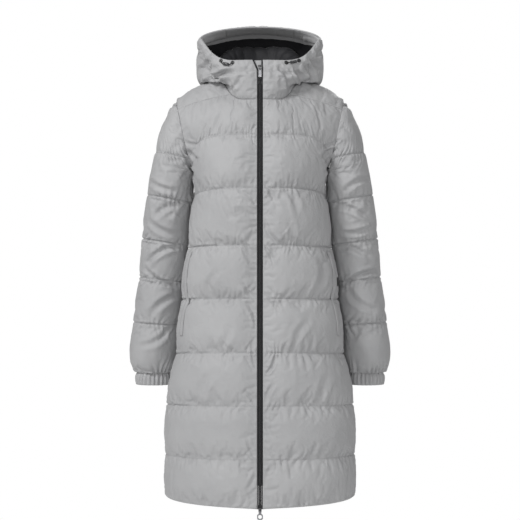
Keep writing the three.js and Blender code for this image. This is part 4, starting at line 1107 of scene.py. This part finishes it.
coil_plastic = moulded("coil_plastic", (0.012, 0.012, 0.013), (0.024, 0.024, 0.026), 0.38)
slider_metal = moulded("slider_lacquer", (0.01, 0.01, 0.011), (0.02, 0.02, 0.021), 0.3)
pull_metal = moulded(
    "pull_metal", (0.2, 0.2, 0.21), (0.28, 0.28, 0.29), 0.45, metallic=1.0, grain=0.02, wear=0.06,
)
fitting_plastic = moulded("fitting_plastic", (0.03, 0.03, 0.032), (0.055, 0.055, 0.058), 0.35)


def solid_points(name):
    """A node's points in the row frame, in mm"""
    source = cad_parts[name]
    return np.array([source.matrix_world @ vertex.co for vertex in source.data.vertices]) / MM


def eyelet_seat(name):
    """Middle of an eyelet's back, and the direction that it faces"""
    points = solid_points(name)
    centre = points.mean(axis=0)
    normal = np.linalg.svd(points - centre)[2][2]
    normal = normal if normal[1] < 0 else -normal
    return centre + normal * ((points - centre) @ normal).min(), normal


# The padded panels
SIDES = ("left", "right")
front = front_grid()
sleeve = sleeve_grid()
collar = hood_grid(0, YOKE_NECK, puff_share=COLLAR_PUFF)
open_collar = made_mirror(collar)
open_collar = (turn_out(open_collar[0]), *open_collar[1:])
HOOD_STITCHES = (0, TUNNEL, RIM)
ON_COLLAR = {"pressure": 0.25, "cap": 2.0, "lines": HOOD_STITCHES, "pucker": 0.35, "floor": 2.0}
ON_HOOD = {"pressure": 0.4, "cap": 4.0, "lines": HOOD_STITCHES, "pucker": 0.5, "floor": 2.8}
SEATS = {side: [eyelet_seat(f"eyelet_{side}_{place}") for place in ("inner", "outer")] for side in SIDES}
panels = {panel.name: panel for panel in [
    Panel("front_left", front),
    Panel("front_right", made_mirror(front)),
    Panel("back", back_grid()),
    Panel("yoke", yoke_grid(), pressure=0.6, pucker=0.5),
    Panel("sleeve_left", sleeve[:4], closed_from=sleeve[4]),
    Panel("sleeve_right", made_mirror(sleeve[:4]), closed_from=sleeve[4]),
    Panel("collar_left", collar, seats=SEATS["left"], **ON_COLLAR),
    Panel("collar_right", open_collar, seats=SEATS["right"], **ON_COLLAR),
    Panel("hood_side_left", hood_grid(YOKE_NECK, PANEL_SEAM), **ON_HOOD),
    Panel("hood_side_right", hood_grid(360 - PANEL_SEAM, 360 - YOKE_NECK), **ON_HOOD),
    Panel("hood_centre", hood_grid(PANEL_SEAM, 360 - PANEL_SEAM), **ON_HOOD),
]}
LINED_APART = ("hood_side_left", "hood_side_right", "hood_centre")


def blow_up():
    """Runs the simulation of all the panels, and gives each one's cloth"""
    for panel in panels.values():
        panel.start_cloth()
    for number in range(1, FRAMES + 1):
        scene.frame_set(number)
    depsgraph = bpy.context.evaluated_depsgraph_get()
    cloths = {name: panel.take_cloth(depsgraph) for name, panel in panels.items()}
    scene.frame_set(1)
    for panel in panels.values():
        bpy.data.objects.remove(panel.bare)
    return cloths


cloths = blow_up()
for name, panel in panels.items():
    coarse = panel.settled(cloths[name]) if cloths else panel.target
    panel.dress(coarse, shell, None if name in LINED_APART else lining_fabric)


# Strips and other closed pieces
LATHE_SIDES = 40
CORD_SIDES = 12
GRAIN_RINGS = [(-1, 0.45), (-0.55, 1), (0.55, 1), (1, 0.45)]  # share of a grain's length, and its swell


def strip(name, outer, normals, wall, material, replaces):
    """A closed band from the grid of its outer face and its thickness"""
    inner = outer - normals * wall
    around_it = np.concatenate([outer, inner[:, ::-1], outer[:, :1]], axis=1)
    ends = [around_it[:1].repeat(2, axis=0), around_it[-1:].repeat(2, axis=0)]
    for i, end in enumerate(ends):
        end[i] = end[i].mean(axis=0)
    return cloth_object(name, [ends[0], around_it, ends[1]], material, replaces)


def lathe(name, profile, base, axis, material, replaces):
    """A turned piece: its profile gives distances from the axis and along it"""
    first = unit(np.cross(axis, [0.3, 0.2, 0.9]))
    second = np.cross(axis, first)
    angle = np.linspace(0, 2 * np.pi, LATHE_SIDES + 1)
    ring = np.cos(angle)[:, None] * first + np.sin(angle)[:, None] * second
    grid = np.array([base + ring * radius + axis * height for radius, height in profile])
    return cloth_object(name, [grid], material, replaces, flip=True)


def grains(name, centres, tangents, normals, size, material):
    """Small rounded bars, such as stitches or teeth: half their length, width and height is their size"""
    sides = np.cross(tangents, normals)
    shape = np.array([
        (share * size[0], a * swell * size[1], b * swell * size[2])
        for share, swell in GRAIN_RINGS for a, b in ((1, 0), (0, 1), (-1, 0), (0, -1))
    ])
    ways = enumerate((tangents, sides, normals))
    ahead, aside, up = (shape[None, :, k : k + 1] * way[:, None] for k, way in ways)
    points = centres[:, None] + (ahead + aside + up)
    template = [[3, 2, 1, 0], [12, 13, 14, 15]]
    for ring in range(0, 12, 4):
        template += [[ring + k, ring + (k + 1) % 4, ring + 4 + (k + 1) % 4, ring + 4 + k] for k in range(4)]
    faces = (np.array(template)[None] + 16 * np.arange(len(centres))[:, None, None]).reshape(-1, 4).tolist()
    obj = add_object(name, points, faces, points[..., :2].reshape(-1, 2))
    obj.data.materials.append(material)
    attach(obj, "coat")


def spaced(line, out, pitch):
    """Places at even spacing along a line, with the direction along it and out of the cloth"""
    length = np.concatenate([[0], np.cumsum(np.linalg.norm(np.diff(line, axis=0), axis=-1))])
    count = max(int(length[-1] / pitch), 2)
    at = (np.arange(count) + 0.5) * length[-1] / count
    tangent = unit(rows_at(at + 1, length, line) - rows_at(at - 1, length, line))
    normal = rows_at(at, length, out)
    normal = unit(normal - (normal * tangent).sum(axis=-1, keepdims=True) * tangent)
    return rows_at(at, length, line), tangent, normal


STITCH = {"pitch": 4.2, "size": (1.6, 0.32, 0.28), "lift": 0.35}


def stitch_lines(name, lines):
    """Rows of stitches along lines of points with their directions out"""
    parts = [spaced(line, out, STITCH["pitch"]) for line, out in lines]
    place, tangent, normal = (np.concatenate([part[k] for part in parts]) for k in range(3))
    grains(name, place + normal * STITCH["lift"], tangent, normal, STITCH["size"], thread_fabric)


for name, panel in panels.items():
    inner = [2 * row for row in panel.sewn if 0 < row < len(panel.level) - 1]
    if inner:
        stitch_lines(name + "_stitches", [(panel.outer[row], panel.outer_normals[row]) for row in inner])

# Cuffs: the sleeve's end gathered by elastic, turned in at the hem
CUFF_TURN = {"per_pleat": 10, "rows": 12, "inside": 0.7, "tuck": 2.5, "tuck_to": 0.35}
CUFF_PLEATS = {"uneven": 0.35, "power": 0.6, "sunk": 0.35, "height": 2.2, "varies": 0.6, "at_seam": 0.35}


def cuff_grid():
    """The left cuff's pleats: down the outside, and up again inside"""
    pleats = CUFF["pleats"]
    share = np.linspace(0, 1, pleats * CUFF_TURN["per_pleat"] + 1)
    turn = np.linspace(1, -1, len(share))
    draws = [*rng.uniform(-1, 1, pleats), 0]
    uneven = CUFF_PLEATS["uneven"] * np.interp(share, np.linspace(0, 1, pleats + 1), draws)
    uneven[0] = uneven[-1] = 0
    wave = np.abs(np.sin(np.pi * pleats * (turn + 1) / 2 + uneven)) ** CUFF_PLEATS["power"]
    varied = CUFF_PLEATS["height"] + CUFF_PLEATS["varies"] * np.sin(turn * 37) * np.cos(turn * 19)
    height = (wave - CUFF_PLEATS["sunk"]) * (CUFF["height"] * varied)
    down = np.linspace(0, 1, CUFF_TURN["rows"])
    up = down[::-1] * CUFF_TURN["inside"] + (1 - CUFF_TURN["inside"])
    middle = np.array([SLEEVE["reach"][-1] - SLEEVE["width"][-1], SLEEVE["y"][-1], 0])
    rows = []
    for part, depth in [*((part, 0) for part in down), *((part, CUFF["wall"]) for part in up)]:
        ring = sleeve_ring(SLEEVE["z"][-1], turn)
        out = unit((ring - middle) * [1, 1, 0])
        bulge = np.sin(np.pi * np.clip(part, 0.05, 0.95)) ** CUFF_PLEATS["power"]
        swell = lerp(CUFF_PLEATS["at_seam"], 1, bulge)
        ring[:, 2] -= CUFF["length"] * part
        tucked = CUFF_TURN["tuck"] * (1 - smooth(part, 0, CUFF_TURN["tuck_to"]))
        rows.append(ring + out * (height * swell - depth - tucked)[:, None])
    return np.array(rows)


cuff = cuff_grid()
for side, grid in (("left", cuff), ("right", mirror(cuff))):
    made = cloth_object(f"cuff_{side}_pleats", [grid], shell, f"cuff_{side}")

# Lining and facing inside the hood. The facing reaches one ring further down at the back than at the sides.
LINING_FOLDS = {"height": 4.5, "wave": 30, "wander": 1.2, "power": 0.7, "uneven": 1.5, "from": (0.6, 3)}
LINING_FLANKS = {"height": 13, "ring": 3, "rings": 1.3, "angle": 40, "angles": 22}
FACING = {
    "drop": 1.0, "rows": 22, "columns": 420, "seam": 0.7, "groove": 1.8, "stitch_row": 3,
    "stitch_reach": 0.8, "ruffle": 1.6, "pillow": 1.4, "deepest": -0.9, "edge": 0.4,
}


def bell(values, middle, reach):
    """1 at the middle, and falling to nothing beyond its reach"""
    return np.exp(-(((values - middle) / reach) ** 2))


def hood_layer(low_share, high_share, rows, columns):
    """Grid inside the hood, between two shares of the lining's and facing's height, and its normals"""
    angle = np.linspace(YOKE_NECK, 360 - YOKE_NECK, columns)
    behind = np.maximum(-np.cos(np.radians(angle)), 0)
    split = TUNNEL - FACING["drop"] * smooth(behind, 0, 0.7)
    share = np.linspace(low_share, high_share, rows)[:, None]
    lower = lerp(LINING["start"], split[None], share)
    upper = lerp(split[None], RIM, share - 1)
    ring = np.where(share < 1, lower, upper)
    points = around(ring, angle[None])
    return points, grid_normals(points), ring, angle


lining_points, lining_out, lining_ring, lining_angle = hood_layer(0, 1, LINING["rows"], LINING["columns"])
arc = arc_uv(lining_points)[..., 0]
wander = noise(*arc.shape, 22, 16) * LINING_FOLDS["wander"]
folds = np.abs(np.sin(np.pi * (arc / LINING_FOLDS["wave"] + wander))) ** LINING_FOLDS["power"]
fullness = smooth(lining_ring, *LINING_FOLDS["from"]) * (1 - smooth(lining_ring, TUNNEL - 2, TUNNEL - 1))
flank = bell(np.abs(lining_angle - 180), LINING_FLANKS["angle"], LINING_FLANKS["angles"])[None]
flank = flank * bell(lining_ring, LINING_FLANKS["ring"], LINING_FLANKS["rings"]) * LINING_FLANKS["height"]
uneven = LINING_FOLDS["uneven"] * noise(*arc.shape, 18, 12)
sag = (folds * LINING_FOLDS["height"] + uneven + flank) * fullness
lining_grid = lining_points - lining_out * (WALL + LINING["gap"] + np.maximum(sag, 0))[..., None]
hood_lining = cloth_object(
    "hood_lining_cloth", [lining_grid], lining_fabric, "hood_lining", flip=True,
)

facing_points, facing_out, facing_ring, facing_angle = hood_layer(1, 2, FACING["rows"], FACING["columns"])
at_rim = smooth(facing_ring, RIM - 0.5, RIM)
facing_depth = lerp(WALL + LINING["gap"], WALL - FACING["edge"], at_rim)
ruffles = np.maximum(noise(*facing_ring.shape, 30, 9), 0) * FACING["ruffle"]
seams = sum(bell(facing_angle, seam, FACING["seam"]) for seam in (PANEL_SEAM, 360 - PANEL_SEAM))
stitched = bell(np.arange(FACING["rows"]), FACING["stitch_row"], FACING["stitch_reach"])[:, None]
pillow = FACING["pillow"] * np.sin(np.pi * np.linspace(0, 1, FACING["rows"]))[:, None]
rise = ruffles + pillow - FACING["groove"] * np.maximum(seams[None], stitched)
facing_grid = facing_points - facing_out * (facing_depth + np.maximum(rise, FACING["deepest"]))[..., None]
# The facing's lighter colour is painted light inside the hood, not a different fabric
facing = cloth_object("hood_facing_cloth", [facing_grid], facing_fabric_painted_light, "hood_facing", flip=True)
row = FACING["stitch_row"]
stitch_lines("hood_facing_stitches", [(facing_grid[row], -facing_out[row])])

# Zip: tapes, chain with its teeth, and the guard behind the open collar's edge
collar_edge = around(np.linspace(0, RIM, TAPE["rows"])[1:], 0.0)
left_edge = np.concatenate([front[0][:, 0], collar_edge])
right_edge = turned_over(left_edge)
edge_run = np.gradient(left_edge, axis=0)
edge_out = unit(np.cross([1, 0, 0], edge_run))
edge_out[:, 0] = 0
tape_reach = ZIP_HALF - SEAM_GAP - TAPE["inner"]


def tape(side, start, end):
    """A tape between two distances across the front, for each height along the zip"""
    share = np.linspace(0, 1, TAPE["columns"])
    line = left_edge if side == "left" else right_edge
    grid = np.repeat(line[:, None], len(share), axis=1)
    grid[..., 0] = lerp(start[:, None], end[:, None], share)
    grid = grid - edge_out[:, None] * TAPE["sunk"]
    out = edge_out[:, None]
    strip(f"zip_tape_{side}_woven", grid, out, TAPE["wall"], tape_fabric, f"zip_tape_{side}")


tape("left", np.full(len(left_edge), TAPE["inner"]), left_edge[:, 0] - SEAM_GAP)
tape("right", right_edge[:, 0] + SEAM_GAP, right_edge[:, 0] + SEAM_GAP + tape_reach)

TEETH = {"pitch": 3.0, "reach": 1.15, "sunk": 0.25, "size": (1.75, 0.72, 0.7)}
chain_z = np.arange(CHAIN["foot"] + 1, CHAIN["top"] - 1, TEETH["pitch"] / 2)


def chain_at(z):
    """Points of the zip's middle at heights"""
    return np.stack([np.zeros_like(z), np.interp(z, left_edge[:, 2], left_edge[:, 1]), z], axis=-1)


def chain_out(z):
    """Directions out of the zip at heights"""
    return unit(rows_at(z, left_edge[:, 2], edge_out))


bed_z = np.linspace(CHAIN["foot"], CHAIN["top"], CHAIN["rows"])
bed_out = chain_out(bed_z)[:, None]
bed = np.repeat(chain_at(bed_z)[:, None], CHAIN["columns"], axis=1)
bed[..., 0] = np.linspace(-CHAIN["half"], CHAIN["half"], CHAIN["columns"])
bed = bed - bed_out * CHAIN["sunk"]
strip("zip_chain_bed", bed, bed_out, CHAIN["wall"], tape_fabric, "zip_chain")
tooth_side = np.where(np.arange(len(chain_z)) % 2 == 0, 1.0, -1.0)
tooth_centres = chain_at(chain_z) - chain_out(chain_z) * TEETH["sunk"]
tooth_centres[:, 0] = tooth_side * TEETH["reach"]
across_zip = np.tile([1.0, 0, 0], (len(chain_z), 1))
grains("zip_teeth", tooth_centres, across_zip, chain_out(chain_z), TEETH["size"], coil_plastic)

guard_ring = np.linspace(GUARD["ring"], RIM, GUARD["rows"])
left_line = around(guard_ring, 0.0)
left_beside = around(guard_ring, float(NECK_ANGLES[1]))
right_line = turned_over(left_line)
guard_ends = [
    lerp(right_line, turned_over(left_beside), GUARD["reach"]), right_line, left_line,
    lerp(left_line, left_beside, GUARD["reach"] / 2),
]
guard_at = np.linspace(0, 3, GUARD["columns"])
guard_grid = spline(np.arange(4.0), np.array(guard_ends), guard_at).swapaxes(0, 1)
guard_out = unit(grid_normals(guard_grid) * [0, 1, 1])
uneven = GUARD["uneven"] * noise(GUARD["rows"], GUARD["columns"], 8, 4)[..., None]
guard_grid = guard_grid - guard_out * (WALL + SEAM_GAP * 2 + uneven)
guard = strip("zip_guard_cloth", guard_grid, guard_out, GUARD["wall"], shell, "zip_guard")

# Pockets: a welt on each front, and the small tab beside one
BAND_COLUMNS = 7
WELT_STITCHES = (1, 5)  # columns of the welt that are stitched
POCKET = {"top": -413, "bottom": -612, "from": 0.675, "to": 0.727, "wall": 1.4, "rows": 80, "bow": 0.9}
TAB = {"top": -474, "bottom": -494, "from": 0.765, "to": 0.8, "wall": 0.9, "rows": 10, "bow": 0.2}


def on_front(name, panel, place, material, soften):
    """A band on a front, between two shares of its width and two heights, made from its cloth"""
    ways = -1 if name.endswith("right") else 1
    flat = panel.flat[:, ::ways]
    shares = finer(np.tile(front[3], (3, 1)))[0]
    height = np.linspace(place["bottom"], place["top"], place["rows"])
    share = np.linspace(place["from"], place["to"], BAND_COLUMNS)
    column = np.interp(share, shares, np.arange(len(shares)))
    row = np.array([np.interp(height, flat[:, int(c), 2], np.arange(flat.shape[0])) for c in column]).T
    grid = sample(panel.outer[:, ::ways], row, np.broadcast_to(column, row.shape))
    for _ in range(soften):
        grid[1:-1] = (grid[:-2] + grid[1:-1] + grid[2:]) / 3
    grid = grid[:, ::ways]
    normals = grid_normals(grid)
    bow = np.sin(np.pi * np.linspace(0, 1, BAND_COLUMNS))[None, :, None] * place["bow"]
    grid = grid + normals * (place["wall"] + SEAM_GAP * 2 + bow)
    return strip(name + "_cloth", grid, normals, place["wall"], material, name), grid, normals


for side in SIDES:
    name = f"pocket_welt_{side}"
    welt, grid, normals = on_front(name, panels[f"front_{side}"], POCKET, shell, 12)
    stitch_lines(name + "_stitches", [(grid[:, column], normals[:, column]) for column in WELT_STITCHES])
on_front("pocket_tab", panels["front_left"], TAB, tab_fabric, 2)


# Hood cords: eyelets, the cord between them and the lock on it
ROUTE_STEPS = 24


def smooth_route(points):
    """Centripetal curve through a route's points"""
    points = np.array(points)
    ends = [2 * points[0] - points[1], *points, 2 * points[-1] - points[-2]]
    made = []
    for i in range(len(points) - 1):
        p = ends[i : i + 4]
        spans = [np.sqrt(np.linalg.norm(p[k + 1] - p[k])) for k in range(3)]
        keys = np.concatenate([[0], np.cumsum(spans)])
        t = np.linspace(keys[1], keys[2], ROUTE_STEPS, endpoint=False)[:, None]
        a = [
            ((keys[k + 1] - t) * p[k] + (t - keys[k]) * p[k + 1]) / (keys[k + 1] - keys[k])
            for k in range(3)
        ]
        b = [
            ((keys[k + 2] - t) * a[k] + (t - keys[k]) * a[k + 1]) / (keys[k + 2] - keys[k])
            for k in range(2)
        ]
        made.append(((keys[2] - t) * b[0] + (t - keys[1]) * b[1]) / (keys[2] - keys[1]))
    return np.concatenate([*made, points[-1:]])


def tube(name, line, radius, material, replaces):
    """A round cord along a line of points"""
    tangent = unit(np.gradient(line, axis=0))
    side = unit(np.cross(tangent[0], [0, 0, 1]))
    rings = []
    angle = np.linspace(0, 2 * np.pi, CORD_SIDES + 1)[:, None]
    for point, ahead in zip(line, tangent):
        side = unit(side - (side @ ahead) * ahead)
        rings.append(point + radius * (np.cos(angle) * side + np.sin(angle) * np.cross(ahead, side)))
    rings = [np.tile(line[0], (CORD_SIDES + 1, 1)), *rings, np.tile(line[-1], (CORD_SIDES + 1, 1))]
    return cloth_object(name, [np.array(rings)], material, replaces)


EYELET_PROFILE = [
    (1.8, 0), (4.9, 0), (4.85, 0.3), (4.5, 0.75), (3.9, 1.0), (3.2, 1.1), (2.6, 1.0), (2.1, 0.7),
    (1.85, 0.35), (1.8, 0),
]
EYELET_HEIGHT = 1.0
CORD = {"radius": 1.2, "stand": 5.5, "run": 2.2, "sag": {"left": 3, "right": 8}}
LOCK = {"length": 16, "clear": 0.6, "lead": 1.5}  # cord kept straight at its ends, and before the bends
LOCK_PROFILE = [
    (1.5, -8), (2.7, -8), (3.2, -7.7), (3.35, -7.2), (3.35, -5.2), (2.9, -5.0), (2.9, -4.5), (3.3, -4.3),
    (3.55, -4.0), (3.6, -3.4), (3.6, 1.6), (3.4, 1.9), (3.4, 2.4), (3.6, 2.7), (3.6, 3.9), (3.4, 4.2),
    (3.4, 4.7), (3.6, 5.0), (3.6, 7.0), (3.3, 7.7), (2.7, 8), (1.5, 8), (1.5, -8),
]
for side in SIDES:
    seats = SEATS[side]
    for place, (seat, out) in zip(("inner", "outer"), seats):
        name = f"eyelet_{side}_{place}"
        lathe(name + "_ring", EYELET_PROFILE, seat, out, slider_metal, name)
    (a, a_out), (b, b_out) = seats
    along = unit(b - a)
    stand = unit(a_out + b_out)
    middle = (a + a_out * EYELET_HEIGHT + b + b_out * EYELET_HEIGHT) / 2 + stand * CORD["stand"]
    middle[2] -= CORD["sag"][side]
    straight = LOCK["length"] / 2 + LOCK["clear"]
    bend = straight + LOCK["lead"]
    high = EYELET_HEIGHT + CORD["run"]
    route = smooth_route([
        *(a + a_out * height for height in (-SEAM_GAP, EYELET_HEIGHT, high)),
        *(middle + along * reach for reach in (-bend, -straight, straight, bend)),
        *(b + b_out * height for height in (high, EYELET_HEIGHT, -SEAM_GAP)),
    ])
    lock = lathe(
        f"cord_lock_{side}_barrel", LOCK_PROFILE, middle, along, fitting_plastic,
        f"cord_lock_{side}",
    )
    cord = tube(f"drawcord_{side}_braid", route, CORD["radius"], cord_fabric, f"drawcord_{side}")


def rounded_copy(name, body, material, radius):
    """A node's own shape with its edges rounded off"""
    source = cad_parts[name]
    obj = bpy.data.objects.new(name + "_rounded", source.data.copy())
    obj.matrix_world = source.matrix_world.copy()
    scene.collection.objects.link(obj)
    obj.data.materials.clear()
    obj.data.materials.append(material)
    bevel = obj.modifiers.new("edges", "BEVEL")
    bevel.width = radius * MM
    bevel.segments = 2
    bevel.limit_method = "ANGLE"
    bevel.angle_limit = math.radians(40)
    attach(obj, body)
    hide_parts(name)


for end in ("top", "bottom"):
    rounded_copy(f"slider_{end}", "coat", slider_metal, 0.25)
    rounded_copy(f"pull_{end}", f"zip_pull_{end}", pull_metal, 0.3)


# Floor, light and background
def add_light(name, place, aim, size, power):
    data = bpy.data.lights.new(name, "AREA")
    data.shape = "DISK"
    data.size = size
    data.energy = power
    obj = bpy.data.objects.new(name, data)
    obj.location = place
    obj.rotation_euler = (Vector(aim) - Vector(place)).to_track_quat("-Z", "Y").to_euler()
    scene.collection.objects.link(obj)


add_light("key", (-2.3, -2.3, 2.1), (0, 0, -0.5), 1.2, 112)
add_light("front", (-0.3, -3.2, -0.1), (0, 0, -0.25), 0.8, 33)
add_light("fill", (2.9, -1.4, 0.6), (0, 0, -0.5), 2.2, 16)
add_light("back", (0.6, 2.8, 1.6), (0, 0, -0.4), 2.0, 60)

FLOOR = {"z": -1.45, "half": 1.6}
around_floor = ((-1, -1), (1, -1), (1, 1), (-1, 1))
corners = [(x * FLOOR["half"], y * FLOOR["half"], FLOOR["z"]) for x, y in around_floor]
floor = add_object("floor", np.array(corners) / MM, [[0, 1, 2, 3]], smooth_shading=False)
floor.data.materials.append(new_material("floor_paint", (0.8, 0.8, 0.8), 0.8)[0])

world = bpy.data.worlds.new("studio")
scene.world = world
world.use_nodes = True
sky = world.node_tree
background = sky.nodes["Background"]
background.inputs["Color"].default_value = (1, 1, 1, 1)
background.inputs["Strength"].default_value = 0.34
white = node(sky, "ShaderNodeBackground", Color=(1, 1, 1, 1), Strength=1.0)
choice = node(sky, "ShaderNodeMixShader")
sky.links.new(node(sky, "ShaderNodeLightPath").outputs["Is Camera Ray"], choice.inputs["Fac"])
sky.links.new(background.outputs["Background"], choice.inputs[1])
sky.links.new(white.outputs["Background"], choice.inputs[2])
sky.links.new(choice.outputs["Shader"], sky.nodes["World Output"].inputs["Surface"])
scene.view_settings.view_transform = "Standard"
